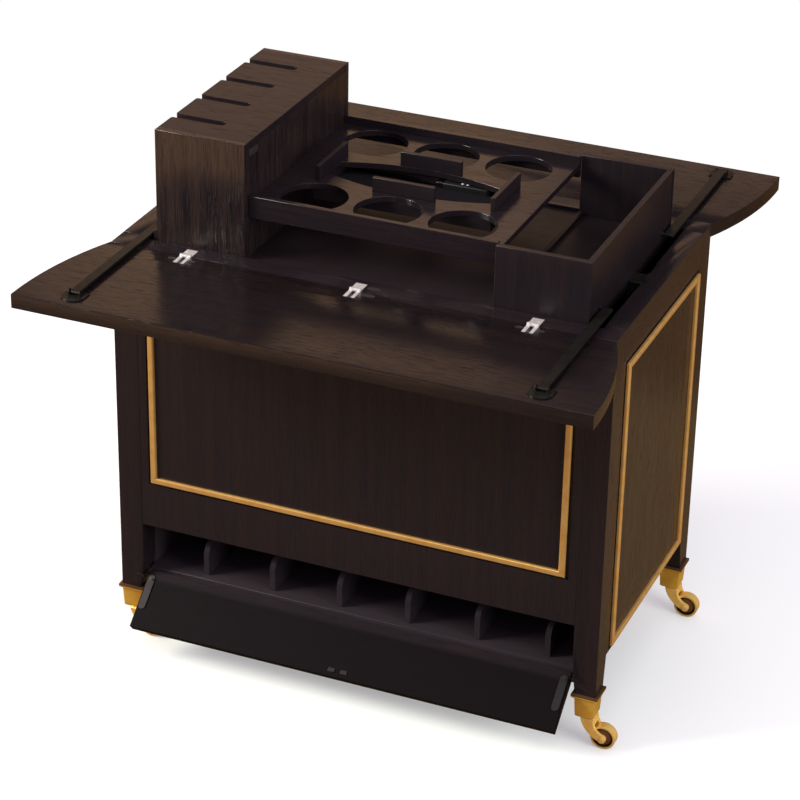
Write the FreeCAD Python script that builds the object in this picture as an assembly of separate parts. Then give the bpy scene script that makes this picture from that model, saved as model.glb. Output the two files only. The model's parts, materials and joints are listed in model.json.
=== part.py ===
import FreeCAD, Part
import math
import os

# Bar and cheese trolley with two folding top leaves and a lift insert.
# Millimetres, +Z up, origin on the floor under the middle of the cabinet.
# X runs along the cabinet, the bottle bay faces -Y.
# The trolley is drawn open: both leaves lie flat, the insert is raised, the bottle flap hangs open.

Vec = FreeCAD.Vector
X_AXIS = Vec(1, 0, 0)
Y_AXIS = Vec(0, 1, 0)
Z_AXIS = Vec(0, 0, 1)
ORIGIN = Vec(0, 0, 0)
SIDES = (-1, 1)

# ---------------------------------------------------------------- driving dimensions

# Cabinet
cabinet_length = 850.0
cabinet_depth = 475.0
rim_height = 736.0
post_length = 42.0
post_width = 44.0
foot_length = 36.0
foot_width = 36.0
foot_height = 57.0
rail_height = 56.0
long_rail_width = 35.5
end_rail_width = 33.0
panel_thickness = 22.0
well_floor_thickness = 12.0

# Brass beads and the shadow grooves round them
bead_width = 10.5
bead_proud = 5.5
bead_round = 2.8
groove_width = 5.0
groove_depth = 4.5
bead_top_margin = 8.0
side_bead_end_margin = 14.5
side_bead_bottom_margin = 8.0
front_bead_end_margin = 19.7
front_bead_bottom_margin = 85.0

# Bottle bay
bay_opening_height = 97.0
shelf_rise = 14.0
shelf_thickness = 15.0
shelf_setback = 27.0
bay_end_thickness = 10.0
divider_count = 6
divider_pitch = 122.4
divider_shift = 21.0
divider_thickness = 10.0
divider_height = 58.0
divider_setback = 40.0
divider_nose_radius = 22.0

# Bottle flap
flap_end_gap = 4.4
flap_thickness = 16.0
flap_height = 104.0
flap_bottom_gap = 4.0
flap_pivot_rise = 5.8
flap_pivot_inset = 12.8
flap_open_angle = 130.0
flap_pin_radius = 1.6
flap_pin_reach = 9.0
pivot_plate_width = 7.0
pivot_plate_length = 14.0
pivot_plate_proud = 0.8
strap_length = 62.0
strap_width = 13.0
strap_thickness = 1.8
strap_inset = 2.0
strap_end_margin = 9.2
catch_length = 12.0
catch_width = 7.0
catch_proud = 1.5
catch_spacing = 22.0

# Casters
wheel_radius = 21.0
wheel_width = 16.0
wheel_dish = 3.5
wheel_rim = 4.5
caster_trail = 30.5
caster_height = 55.0
cup_height = 45.0
cup_floor = 6.0
cup_lip = 4.5
cup_lip_height = 9.0
cup_lip_chamfer = 4.2
cup_wall = 2.2
cup_bottom_length = 31.0
cup_bottom_width = 33.0
cup_chamfer = 3.0
horn_front_reach = 7.0
horn_rear_reach = 15.5
horn_bow = 6.0
horn_boss_radius = 6.8
horn_front_angle = 215.0
horn_rear_angle = 75.0
horn_width = 30.0
horn_crown_height = 12.0
horn_crown_chamfer = 3.0
horn_swivel_gap = 0.3
stem_radius = 4.0
stem_length = 14.0
axle_radius = 3.0
axle_head_radius = 4.6
axle_head_height = 1.2

# Folding leaves
leaf_thickness = 24.0
leaf_meeting_gap = 3.0
leaf_bow = 47.0
bow_point_reach = 0.55
bow_point_share = 0.82
hinge_gap = 0.5
leaf_edge_round = 1.5

# Leaf hinges
hinge_end_margin = 133.0
hinge_width = 19.0
hinge_rim_length = 25.0
hinge_leaf_length = 27.0
hinge_plate_thickness = 1.6
knuckle_radius = 3.4
knuckle_length = 6.4
hinge_pin_radius = 1.4

# Arms and their brackets
arm_width = 16.0
arm_thickness = 5.0
arm_pin_height = 6.0
arm_pin_radius = 1.2
leaf_pin_margin = 36.0
insert_pin_margin = 50.0
bracket_length = 34.0
bracket_width = 38.0
bracket_thickness = 2.2
bracket_pin_share = 0.35
bracket_shoulder_share = 0.55
bracket_curve_share = 0.72
bracket_curve_rise = 4.5
bracket_ear_thickness = 2.0
bracket_ear_radius = 5.0
stud_radius = 4.0
stud_clearance = 0.5

# Lift insert
insert_end_gap = 24.0
insert_side_gap = 1.9
base_top_drop = 5.0
base_thickness = 15.0
end_rail_height = 21.0
end_rail_thickness = 6.0
bin_divider_height = 7.0
bin_divider_width = 8.0
guide_width = 20.0
guide_proud = 4.0
guide_drop = 400.0
guide_top_drop = 8.0
shoe_height = 55.0
shoe_cheek = 8.0

# Stemware block
block_length = 156.0
block_height = 194.0
block_board = 12.0
slot_count = 4
slot_pitch = 89.0
slot_width = 15.0
slot_depth = 91.0
slot_mouth_round = 4.0
blank_plate_length = 30.0
blank_plate_height = 11.0
blank_plate_thickness = 1.0
blank_plate_end_margin = 16.0
blank_plate_top_margin = 14.0

# Bottle tray, bin and knife well
tray_top = 101.0
tray_rail_height = 37.0
tray_rail_thickness = 9.5
tray_setback = 10.0
tray_plate_drop = 13.0
tray_plate_thickness = 10.0
bin_length = 155.0
bin_board = 10.0
hole_columns = 3
hole_web = 18.0
hole_end_margin = 20.5
hole_edge_margin = 4.6
lens_length = 292.0
lens_sag_share = 0.545
guard_height = 23.0
guard_thickness = 8.0
guard_end_margin = 3.0
guard_tab_length = 106.0
knife_well_length = 304.0
knife_well_edge = 14.0
knife_well_depth = 14.0
knife_well_wall = 6.0
knife_well_floor = 6.0
felt_thickness = 2.0

# Knife
knife_length = 242.0
knife_blade_length = 148.0
knife_blade_height = 19.0
knife_blade_thickness = 2.0
knife_handle_height = 17.0
knife_handle_thickness = 10.0
knife_bolster_length = 12.0
knife_setback = 2.0
knife_point_margin = 12.0
knife_point_share = 0.55
knife_curve_share = 0.35
knife_spine_drop = 1.5
knife_belly_rise = 3.0
knife_edge_chamfer = 1.5

# Clearances
running_fit = 0.09
press_gap = 0.03
slide_gap = 0.3
face_gap = 0.3
weld_overlap = 1.0

# ---------------------------------------------------------------- derived planes

end_x = cabinet_length / 2
face_y = cabinet_depth / 2
post_x = end_x - post_length
post_y = face_y - post_width
well_x = end_x - end_rail_width
well_y = face_y - long_rail_width
panel_x = end_x - panel_thickness
panel_y = face_y - panel_thickness
foot_z = caster_height + cup_height
panel_top = rim_height - rail_height
side_panel_bottom = foot_z + foot_height
shelf_bottom = foot_z + shelf_rise
shelf_top = shelf_bottom + shelf_thickness
front_panel_bottom = shelf_top + bay_opening_height
shelf_front = face_y - shelf_setback

insert_x = well_x - insert_end_gap
insert_y = well_y - insert_side_gap
arm_middle = (insert_x + well_x) / 2
base_top = rim_height - base_top_drop
base_bottom = base_top - base_thickness
block_left = -insert_x + end_rail_thickness
block_right = block_left + block_length
block_top = base_top + block_height
bin_left = insert_x - bin_length
tray_rail_y = insert_y - tray_setback
tray_z = rim_height + tray_top
plate_top = tray_z - tray_plate_drop
plate_bottom = plate_top - tray_plate_thickness
tray_middle = (block_right + bin_left) / 2
tray_inner_y = tray_rail_y - tray_rail_thickness
hole_pitch = (bin_left - block_right - 2 * hole_end_margin) / hole_columns
hole_radius = (hole_pitch - hole_web) / 2
hole_y = tray_inner_y - hole_edge_margin - hole_radius
knife_well_half = hole_y - hole_radius - slide_gap
lens_half = knife_well_half - knife_well_edge
lens_sag = lens_half * lens_sag_share
lens_radius = ((lens_length / 2) ** 2 + lens_sag ** 2) / (2 * lens_sag)
hinge_spacing = end_x - hinge_end_margin
hinge_axis_y = face_y + hinge_gap / 2
hinge_axis_z = rim_height + hinge_gap / 2
leaf_inner_y = face_y + hinge_gap
leaf_outer_y = 2 * hinge_axis_y - leaf_meeting_gap / 2
leaf_pin_reach = leaf_outer_y - leaf_pin_margin
insert_pin_reach = insert_y - insert_pin_margin
leaf_top = rim_height
pin_z = rim_height + arm_pin_height
arm_left = arm_middle - arm_width / 2
arm_right = arm_middle + arm_width / 2
flap_end = post_x - flap_end_gap
flap_bottom = shelf_bottom + flap_bottom_gap
flap_axis_y = -face_y + flap_pivot_inset
flap_axis_z = flap_bottom + flap_pivot_rise
caster_x = end_x - foot_length / 2
caster_y = face_y - foot_width / 2


# ---------------------------------------------------------------- drawing helpers

def box(x0, x1, y0, y1, z0, z1):
    return Part.makeBox(x1 - x0, y1 - y0, z1 - z0, Vec(x0, y0, z0))


def rod(start, axis, length, radius):
    return Part.makeCylinder(radius, length, start, axis)


def group(shapes):
    return Part.makeCompound(list(shapes))


def face_of(edges):
    return Part.Face(Part.Wire(edges))


def outline(points):
    return Part.Face(Part.makePolygon(list(points) + [points[0]]))


def mirrored(shape, normal):
    return shape.mirror(ORIGIN, normal)


def turned(shape, angle, centre=ORIGIN, axis=Z_AXIS):
    copy = shape.copy()
    copy.rotate(centre, axis, angle)
    return copy


def moved(shape, dx, dy, dz=0.0):
    copy = shape.copy()
    copy.translate(Vec(dx, dy, dz))
    return copy


def save(name, shape):
    shape.exportStep(os.path.join("parts", name + ".step"))


def stadium(length, width, height):
    """Flat strip with round ends, centred on the origin, long way along X."""
    r = width / 2
    straight = length / 2 - r
    edges = [
        Part.makeLine(Vec(-straight, -r, 0), Vec(straight, -r, 0)),
        Part.Arc(Vec(straight, -r, 0), Vec(straight + r, 0, 0), Vec(straight, r, 0)).toShape(),
        Part.makeLine(Vec(straight, r, 0), Vec(-straight, r, 0)),
        Part.Arc(Vec(-straight, r, 0), Vec(-straight - r, 0, 0), Vec(-straight, -r, 0)).toShape(),
    ]
    return face_of(edges).extrude(Vec(0, 0, height))


def edges_on_plane(shape, axis, value):
    """Edges of a shape that lie wholly in the plane axis = value."""
    found = []
    for edge in shape.Edges:
        ends = [getattr(v.Point, axis) for v in edge.Vertexes]
        if all(abs(e - value) < 1e-6 for e in ends):
            found.append(edge)
    return found


# ---------------------------------------------------------------- cabinet

def post(sx, sy):
    """Corner post: plumb outside, the foot tapering on the two inner faces."""
    shaft = box(post_x, end_x, post_y, face_y, side_panel_bottom, rim_height)
    inside_corner = box(0, well_x, 0, well_y, panel_top, rim_height)
    shaft = shaft.cut(inside_corner)
    upper = Part.makePolygon([
        Vec(post_x, post_y, side_panel_bottom), Vec(end_x, post_y, side_panel_bottom),
        Vec(end_x, face_y, side_panel_bottom), Vec(post_x, face_y, side_panel_bottom),
        Vec(post_x, post_y, side_panel_bottom)])
    foot_x = end_x - foot_length
    foot_y = face_y - foot_width
    lower = Part.makePolygon([
        Vec(foot_x, foot_y, foot_z), Vec(end_x, foot_y, foot_z),
        Vec(end_x, face_y, foot_z), Vec(foot_x, face_y, foot_z), Vec(foot_x, foot_y, foot_z)])
    taper = Part.makeLoft([upper, lower], True, True)
    shape = shaft.fuse(taper).fuse(cup_tenon()).cut(stem_bore()).removeSplitter()
    if sx < 0:
        shape = mirrored(shape, X_AXIS)
    if sy < 0:
        shape = mirrored(shape, Y_AXIS)
        shape = shape.cut(pivot_plate(sx, press_gap))
    return shape


def cup_section(length, width, z):
    return Part.makePolygon([
        Vec(caster_x - length / 2, caster_y - width / 2, z),
        Vec(caster_x + length / 2, caster_y - width / 2, z),
        Vec(caster_x + length / 2, caster_y + width / 2, z),
        Vec(caster_x - length / 2, caster_y + width / 2, z),
        Vec(caster_x - length / 2, caster_y - width / 2, z)])


def cup_taper(inset, bottom_z):
    """Tapered square block of the caster cup, or of the tenon inside it."""
    top = cup_section(foot_length - 2 * inset, foot_width - 2 * inset, foot_z)
    bottom = cup_section(cup_bottom_length - 2 * inset, cup_bottom_width - 2 * inset, bottom_z)
    return Part.makeLoft([top, bottom], True, True)


def cup_tenon():
    return cup_taper(cup_wall + running_fit, caster_height + cup_floor)


def stem_bore():
    """Hole for the caster stem, through the cup floor and up into the foot."""
    length = cup_floor + stem_length
    return rod(
        Vec(caster_x, caster_y, caster_height - cup_floor), Z_AXIS, length + cup_floor,
        stem_radius + running_fit)


def caster_cup():
    """Square brass socket with a flared lip under the foot."""
    body = cup_taper(0, caster_height)
    body = body.makeChamfer(cup_chamfer, edges_on_plane(body, "z", caster_height))
    lip = box(
        caster_x - foot_length / 2 - cup_lip, caster_x + foot_length / 2 + cup_lip,
        caster_y - foot_width / 2 - cup_lip, caster_y + foot_width / 2 + cup_lip,
        foot_z - cup_lip_height, foot_z)
    lip = lip.makeChamfer(cup_lip_chamfer, edges_on_plane(lip, "z", foot_z - cup_lip_height))
    shape = body.fuse(lip).cut(cup_taper(cup_wall, caster_height + cup_floor))
    return shape.cut(stem_bore())


def four_corners(shape):
    shapes = []
    for sx in SIDES:
        for sy in SIDES:
            copy = shape if sx > 0 else mirrored(shape, X_AXIS)
            shapes.append(copy if sy > 0 else mirrored(copy, Y_AXIS))
    return shapes


def pivot_plate(sx, clearance=0.0):
    """Flush plate in the post that carries the pivot pin of the flap."""
    x0 = post_x
    x1 = post_x + pivot_plate_length
    shape = box(
        x0, x1 + clearance, -face_y - pivot_plate_proud, flap_axis_y + pivot_plate_width / 2 + clearance,
        flap_axis_z - pivot_plate_width / 2 - clearance, flap_axis_z + pivot_plate_width / 2 + clearance)
    return shape if sx > 0 else mirrored(shape, X_AXIS)


def flap_pivot(sx):
    pin = rod(Vec(post_x, flap_axis_y, flap_axis_z), X_AXIS * -1, flap_pin_reach, flap_pin_radius)
    pin = pin if sx > 0 else mirrored(pin, X_AXIS)
    return pivot_plate(sx).fuse(pin)


def hinge_pocket_rim(middle):
    return box(
        middle - hinge_width / 2 - slide_gap, middle + hinge_width / 2 + slide_gap,
        face_y - knuckle_radius - slide_gap, face_y,
        rim_height - knuckle_radius - slide_gap, rim_height)


def hinge_seat_rim(middle):
    return box(
        middle - hinge_width / 2, middle + hinge_width / 2,
        face_y - hinge_rim_length, face_y, rim_height - hinge_plate_thickness, rim_height)


def hinge_middles():
    return [-hinge_spacing, 0.0, hinge_spacing]


def long_rail():
    """Rear rim rail with the seats of the three leaf hinges."""
    shape = box(-post_x, post_x, well_y, face_y, panel_top, rim_height)
    for middle in hinge_middles():
        shape = shape.cut(hinge_pocket_rim(middle)).cut(hinge_seat_rim(middle))
    return shape


def end_rail():
    """End rim rail with two shallow recesses where the arm brackets land when the leaves close."""
    rail = box(well_x, end_x, -post_y, post_y, panel_top, rim_height)
    outer = 2 * hinge_axis_y - leaf_pin_reach + bracket_length * bracket_pin_share
    recess = box(
        arm_middle, arm_middle + bracket_width / 2 + slide_gap,
        outer - bracket_length - slide_gap, outer + slide_gap,
        hinge_axis_z + hinge_gap / 2 - bracket_thickness - slide_gap, rim_height)
    return rail.cut(recess).cut(mirrored(recess, Y_AXIS))


def ring(half_width, bottom, top, band, depth):
    """Rectangular band in the XZ plane, its outer edge given, reaching from y = 0 to y = depth."""
    outer = box(-half_width, half_width, 0, depth, bottom, top)
    inner = box(
        -half_width + band, half_width - band, -depth, 2 * depth, bottom + band, top - band)
    return outer.cut(inner)


def bead(half_width, bottom, top):
    """Mitred brass bead with rounded edges, its back on y = 0 and proud towards +Y."""
    frame = ring(half_width, bottom, top, bead_width, bead_proud)
    return frame.makeFillet(bead_round, edges_on_plane(frame, "y", bead_proud))


def panel(half_width, bottom, bead_half, bead_bottom, bead_top):
    """Flat panel, outer face on y = 0, with the shadow groove round its bead."""
    board = box(-half_width, half_width, -panel_thickness, 0, bottom, panel_top)
    groove = ring(
        bead_half + groove_width, bead_bottom - groove_width, bead_top + groove_width,
        groove_width, groove_depth)
    groove.translate(Vec(0, -groove_depth, 0))
    return board.cut(groove)


long_bead_half = post_x - front_bead_end_margin
long_bead_bottom = front_panel_bottom + front_bead_bottom_margin
bead_top = panel_top - bead_top_margin
end_bead_half = post_y - side_bead_end_margin
end_bead_bottom = side_panel_bottom + side_bead_bottom_margin


def on_rear(shape):
    return moved(shape, 0, face_y)


def on_front(shape):
    return turned(on_rear(shape), 180)


def on_right(shape):
    return moved(turned(shape, -90), end_x, 0)


def on_left(shape):
    return turned(on_right(shape), 180)


def bottle_divider(x):
    """Low board with a rounded nose, standing on the shelf."""
    y0 = -face_y + divider_setback
    y1 = panel_y
    z1 = shelf_top + divider_height
    r = divider_nose_radius
    diagonal = r * math.sqrt(0.5)
    nose = Part.Arc(
        Vec(x, y0, z1 - r), Vec(x, y0 + r - diagonal, z1 - r + diagonal), Vec(x, y0 + r, z1))
    side = face_of([
        Part.makeLine(Vec(x, y0, shelf_top), Vec(x, y0, z1 - r)),
        nose.toShape(),
        Part.makeLine(Vec(x, y0 + r, z1), Vec(x, y1, z1)),
        Part.makeLine(Vec(x, y1, z1), Vec(x, y1, shelf_top)),
        Part.makeLine(Vec(x, y1, shelf_top), Vec(x, y0, shelf_top))])
    return moved(side.extrude(X_AXIS * divider_thickness), -divider_thickness / 2, 0)


def divider_places():
    first = divider_shift - divider_pitch * (divider_count - 1) / 2
    return [first + i * divider_pitch for i in range(divider_count)]


def well_floor():
    board = box(
        -panel_x, panel_x, -panel_y, panel_y,
        front_panel_bottom, front_panel_bottom + well_floor_thickness)
    for corner in four_corners(box(post_x, end_x, post_y, face_y, foot_z, rim_height)):
        board = board.cut(corner)
    return board


def lift_guide():
    """Rail on the end panel that the shoe of the insert runs on."""
    front = box(
        well_x - guide_proud, well_x, -guide_width / 2, guide_width / 2,
        rim_height - guide_drop, rim_height - guide_top_drop)
    back = box(
        well_x, panel_x, -guide_width / 2, guide_width / 2, rim_height - guide_drop, panel_top)
    return front.fuse(back).removeSplitter()


def rim_hinge(middle):
    """Fixed half of a leaf hinge: a plate let into the rim and the middle knuckle."""
    plate = box(
        middle - hinge_width / 2, middle + hinge_width / 2,
        face_y - hinge_rim_length, face_y - knuckle_radius - slide_gap,
        rim_height - hinge_plate_thickness, rim_height)
    neck = box(
        middle - knuckle_length / 2, middle + knuckle_length / 2,
        face_y - knuckle_radius - slide_gap, hinge_axis_y,
        rim_height - hinge_plate_thickness, rim_height)
    knuckle = rod(
        Vec(middle - knuckle_length / 2, hinge_axis_y, hinge_axis_z), X_AXIS,
        knuckle_length, knuckle_radius)
    bore = rod(
        Vec(middle - hinge_width, hinge_axis_y, hinge_axis_z), X_AXIS,
        2 * hinge_width, hinge_pin_radius + running_fit)
    return plate.fuse(neck).fuse(knuckle).cut(bore).removeSplitter()


# ---------------------------------------------------------------- folding leaves

def leaf_board():
    """Front leaf: straight hinge edge and free edge, the two ends bowed outwards."""
    y0 = -leaf_inner_y
    y1 = -leaf_outer_y
    bow_y = y0 + (y1 - y0) * bow_point_reach
    bow_x = end_x + leaf_bow * bow_point_share
    tip_x = end_x + leaf_bow
    right = Part.Arc(Vec(end_x, y0, 0), Vec(bow_x, bow_y, 0), Vec(tip_x, y1, 0)).toShape()
    left = Part.Arc(Vec(-tip_x, y1, 0), Vec(-bow_x, bow_y, 0), Vec(-end_x, y0, 0)).toShape()
    top = face_of([
        right, Part.makeLine(Vec(tip_x, y1, 0), Vec(-tip_x, y1, 0)),
        left, Part.makeLine(Vec(-end_x, y0, 0), Vec(end_x, y0, 0))])
    board = moved(top, 0, 0, leaf_top - leaf_thickness).extrude(Z_AXIS * leaf_thickness)
    free_edges = []
    for edge in board.Edges:
        low = max(v.Point.y for v in edge.Vertexes) - y1
        level = [v.Point.z for v in edge.Vertexes]
        if abs(low) < 1e-6 and abs(level[0] - level[-1]) < 1e-6:
            free_edges.append(edge)
    board = board.makeFillet(leaf_edge_round, free_edges)
    for middle in hinge_middles():
        pocket = box(
            middle - hinge_width / 2 - slide_gap, middle + hinge_width / 2 + slide_gap,
            -leaf_inner_y - knuckle_radius - slide_gap, -leaf_inner_y,
            leaf_top - knuckle_radius - slide_gap, leaf_top)
        seat = box(
            middle - hinge_width / 2, middle + hinge_width / 2,
            -leaf_inner_y - hinge_leaf_length, -leaf_inner_y,
            leaf_top - hinge_plate_thickness, leaf_top)
        board = board.cut(pocket).cut(seat)
    return board


def leaf_hinge(middle):
    """Moving half of a leaf hinge: two prongs let into the leaf, their knuckles and the pin."""
    start_y = -leaf_inner_y - knuckle_radius - slide_gap
    prong_inner = knuckle_length / 2 + slide_gap
    shapes = []
    for side in SIDES:
        prong = box(
            prong_inner, hinge_width / 2, -leaf_inner_y - hinge_leaf_length, start_y,
            leaf_top - hinge_plate_thickness, leaf_top)
        neck = box(
            prong_inner, hinge_width / 2, start_y, -hinge_axis_y,
            leaf_top - hinge_plate_thickness, leaf_top)
        knuckle = rod(
            Vec(prong_inner, -hinge_axis_y, hinge_axis_z), X_AXIS,
            hinge_width / 2 - prong_inner, knuckle_radius)
        half = prong.fuse(neck).fuse(knuckle)
        shapes.append(half if side > 0 else mirrored(half, X_AXIS))
    pin = rod(
        Vec(-hinge_width / 2, -hinge_axis_y, hinge_axis_z), X_AXIS, hinge_width, hinge_pin_radius)
    return moved(shapes[0].fuse(shapes[1]).fuse(pin).removeSplitter(), middle, 0)


def leaf_bracket(side):
    """Shield-shaped plate with two ears that hold the pin of the arm."""
    half = bracket_width / 2
    inner_y = -leaf_pin_reach + bracket_length * bracket_pin_share
    tip_y = inner_y - bracket_length
    shoulder_y = inner_y - bracket_length * bracket_shoulder_share
    curve_x = half * bracket_curve_share
    curve_y = tip_y + bracket_curve_rise
    left = Part.Arc(Vec(-half, shoulder_y, 0), Vec(-curve_x, curve_y, 0), Vec(0, tip_y, 0)).toShape()
    right = Part.Arc(Vec(0, tip_y, 0), Vec(curve_x, curve_y, 0), Vec(half, shoulder_y, 0)).toShape()
    plate = face_of([
        Part.makeLine(Vec(half, inner_y, 0), Vec(-half, inner_y, 0)),
        Part.makeLine(Vec(-half, inner_y, 0), Vec(-half, shoulder_y, 0)), left, right,
        Part.makeLine(Vec(half, shoulder_y, 0), Vec(half, inner_y, 0))])
    plate = plate.extrude(Z_AXIS * bracket_thickness)
    ear_x = arm_width / 2 + face_gap
    ears = []
    for hand in SIDES:
        x0 = ear_x if hand > 0 else -ear_x - bracket_ear_thickness
        disc = rod(
            Vec(x0, -leaf_pin_reach, arm_pin_height), X_AXIS, bracket_ear_thickness, bracket_ear_radius)
        stand = box(
            x0, x0 + bracket_ear_thickness, -leaf_pin_reach - bracket_ear_radius,
            -leaf_pin_reach + bracket_ear_radius, bracket_thickness / 2, arm_pin_height)
        ears.append(disc.fuse(stand))
    reach = ear_x + bracket_ear_thickness
    pin = rod(Vec(-reach, -leaf_pin_reach, arm_pin_height), X_AXIS, 2 * reach, arm_pin_radius)
    shape = plate.fuse(ears).fuse(pin)
    shape = shape.common(box(-half, half, tip_y, inner_y, 0, arm_pin_height + bracket_ear_radius))
    return moved(shape.removeSplitter(), side * arm_middle, 0, leaf_top)


def arm(side):
    """Flat bar with rounded ends, pinned to the front leaf and to the insert."""
    r = arm_thickness / 2
    x0 = -arm_width / 2
    y0 = -leaf_pin_reach
    y1 = -insert_pin_reach
    edges = [
        Part.makeLine(Vec(x0, y0, -r), Vec(x0, y1, -r)),
        Part.Arc(Vec(x0, y1, -r), Vec(x0, y1 + r, 0), Vec(x0, y1, r)).toShape(),
        Part.makeLine(Vec(x0, y1, r), Vec(x0, y0, r)),
        Part.Arc(Vec(x0, y0, r), Vec(x0, y0 - r, 0), Vec(x0, y0, -r)).toShape()]
    bar = face_of(edges).extrude(X_AXIS * arm_width)
    bore = rod(Vec(-arm_width, y0, 0), X_AXIS, 2 * arm_width, arm_pin_radius + running_fit)
    return moved(bar.cut(bore), side * arm_middle, 0, pin_z)


# ---------------------------------------------------------------- lift insert

def stud(side, sy):
    """Stub on the insert that carries the lower end of an arm."""
    length = arm_left - stud_clearance - insert_x
    start = Vec(insert_x, sy * insert_pin_reach, pin_z)
    shape = rod(start, X_AXIS, length, stud_radius)
    return shape if side > 0 else mirrored(shape, X_AXIS)


def lift_base():
    board = box(-insert_x, insert_x, -insert_y, insert_y, base_bottom, base_top)
    strip = box(
        bin_left, bin_left + bin_divider_width, -insert_y + bin_board, insert_y - bin_board,
        base_top, base_top + bin_divider_height)
    return board.fuse(strip).removeSplitter()


def left_end_rail():
    return box(
        -insert_x, block_left, -insert_y, insert_y, base_top, base_top + end_rail_height)


def block_boards():
    front = box(block_left, block_right, -insert_y, -insert_y + block_board, base_top, block_top)
    side = box(
        block_right - block_board, block_right, -insert_y + block_board, insert_y - block_board,
        base_top, block_top - block_board)
    return group([front, mirrored(front, Y_AXIS), side])


def slot_places():
    first = -slot_pitch * (slot_count - 1) / 2
    return [first + i * slot_pitch for i in range(slot_count)]


def block_lid():
    """Top of the block with the open slots that stemmed glasses hang in."""
    lid = box(
        block_left, block_right, -insert_y + block_board, insert_y - block_board,
        block_top - block_board, block_top)
    for y in slot_places():
        slot = stadium(2 * slot_depth, slot_width, 2 * block_board)
        lid = lid.cut(moved(slot, block_left, y, block_top - 1.5 * block_board))
    corners = []
    for edge in lid.Edges:
        if all(abs(v.Point.x - block_left) < 1e-6 for v in edge.Vertexes):
            ends = [v.Point for v in edge.Vertexes]
            upright = abs(ends[0].z - ends[-1].z) > block_board / 2
            inside = abs(ends[0].y) < insert_y - block_board - slot_mouth_round
            if upright and inside:
                corners.append(edge)
    return lid.makeFillet(slot_mouth_round, corners)


def blank_plate():
    x0 = block_right
    y0 = -insert_y + blank_plate_end_margin
    z1 = block_top - blank_plate_top_margin
    return box(
        x0, x0 + blank_plate_thickness, y0, y0 + blank_plate_length, z1 - blank_plate_height, z1)


def tray_rail():
    return box(
        block_right, bin_left, tray_inner_y, tray_rail_y, tray_z - tray_rail_height, tray_z)


def lens_prism(bottom, top):
    """Middle opening of the tray: two shallow arcs cut off square at the ends."""
    half = lens_length / 2
    end_half = lens_half - lens_radius + math.sqrt(lens_radius ** 2 - half ** 2)
    a = Vec(tray_middle - half, -end_half, bottom)
    b = Vec(tray_middle + half, -end_half, bottom)
    c = Vec(tray_middle + half, end_half, bottom)
    d = Vec(tray_middle - half, end_half, bottom)
    lower = Part.Arc(a, Vec(tray_middle, -lens_half, bottom), b).toShape()
    upper = Part.Arc(c, Vec(tray_middle, lens_half, bottom), d).toShape()
    return face_of([lower, Part.makeLine(b, c), upper, Part.makeLine(d, a)]).extrude(
        Z_AXIS * (top - bottom))


def tray_plate():
    """Plate with six round bottle holes and the opening over the knife well."""
    plate = box(block_right, bin_left, -tray_inner_y, tray_inner_y, plate_bottom, plate_top)
    first = tray_middle - hole_pitch * (hole_columns - 1) / 2
    for column in range(hole_columns):
        for side in SIDES:
            centre = Vec(first + column * hole_pitch, side * hole_y, plate_bottom)
            plate = plate.cut(rod(centre, Z_AXIS, tray_plate_thickness, hole_radius))
    return plate.cut(lens_prism(plate_bottom, plate_top))


def knife_guard():
    """Two end walls and two middle tabs standing round the opening."""
    half = lens_length / 2
    end_half = lens_half + guard_end_margin
    end_wall = box(
        half, half + guard_thickness, -end_half, end_half, plate_top, plate_top + guard_height)
    tab = box(
        -guard_tab_length / 2, guard_tab_length / 2, lens_half,
        lens_half + guard_thickness, plate_top, plate_top + guard_height)
    walls = [end_wall, mirrored(end_wall, X_AXIS), tab, mirrored(tab, Y_AXIS)]
    return group(moved(wall, tray_middle, 0) for wall in walls)


def knife_well():
    """Shallow open box hung under the tray plate."""
    half_x = knife_well_length / 2
    half_y = knife_well_half
    bottom = plate_bottom - knife_well_depth - knife_well_floor
    shell = box(-half_x, half_x, -half_y, half_y, bottom, plate_bottom)
    room = box(
        -half_x + knife_well_wall, half_x - knife_well_wall,
        -half_y + knife_well_wall, half_y - knife_well_wall,
        bottom + knife_well_floor, plate_bottom)
    return moved(shell.cut(room), tray_middle, 0)


felt_top = plate_bottom - knife_well_depth + felt_thickness


def knife_felt():
    half_x = knife_well_length / 2 - knife_well_wall
    half_y = knife_well_half - knife_well_wall
    felt = box(-half_x, half_x, -half_y, half_y, felt_top - felt_thickness, felt_top)
    return moved(felt, tray_middle, 0)


knife_left = tray_middle - lens_length / 2 + knife_point_margin
knife_back = knife_well_half - knife_well_wall - knife_setback


def knife_blade():
    """Cheese knife blade and bolster, lying flat on the felt with its point to the left."""
    x0 = knife_left
    x1 = knife_left + knife_blade_length
    y1 = knife_back
    y0 = knife_back - knife_blade_height
    point = Vec(x0, y0 + knife_blade_height * knife_point_share, felt_top)
    curve_x = x0 + knife_blade_length * knife_curve_share
    spine = Part.Arc(
        point, Vec(curve_x, y1 - knife_spine_drop, felt_top), Vec(x1, y1, felt_top)).toShape()
    belly = Part.Arc(
        Vec(x1, y0, felt_top), Vec(curve_x, y0 + knife_belly_rise, felt_top), point).toShape()
    heel = Part.makeLine(Vec(x1, y1, felt_top), Vec(x1, y0, felt_top))
    blade = face_of([spine, heel, belly]).extrude(Z_AXIS * knife_blade_thickness)
    middle = y1 - knife_blade_height / 2
    bolster = box(
        x1, x1 + knife_bolster_length, middle - knife_handle_height / 2,
        middle + knife_handle_height / 2, felt_top, felt_top + knife_handle_thickness)
    upper = edges_on_plane(bolster, "z", felt_top + knife_handle_thickness)
    bolster = bolster.makeChamfer(knife_edge_chamfer, upper)
    return blade.fuse(bolster).removeSplitter()


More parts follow.
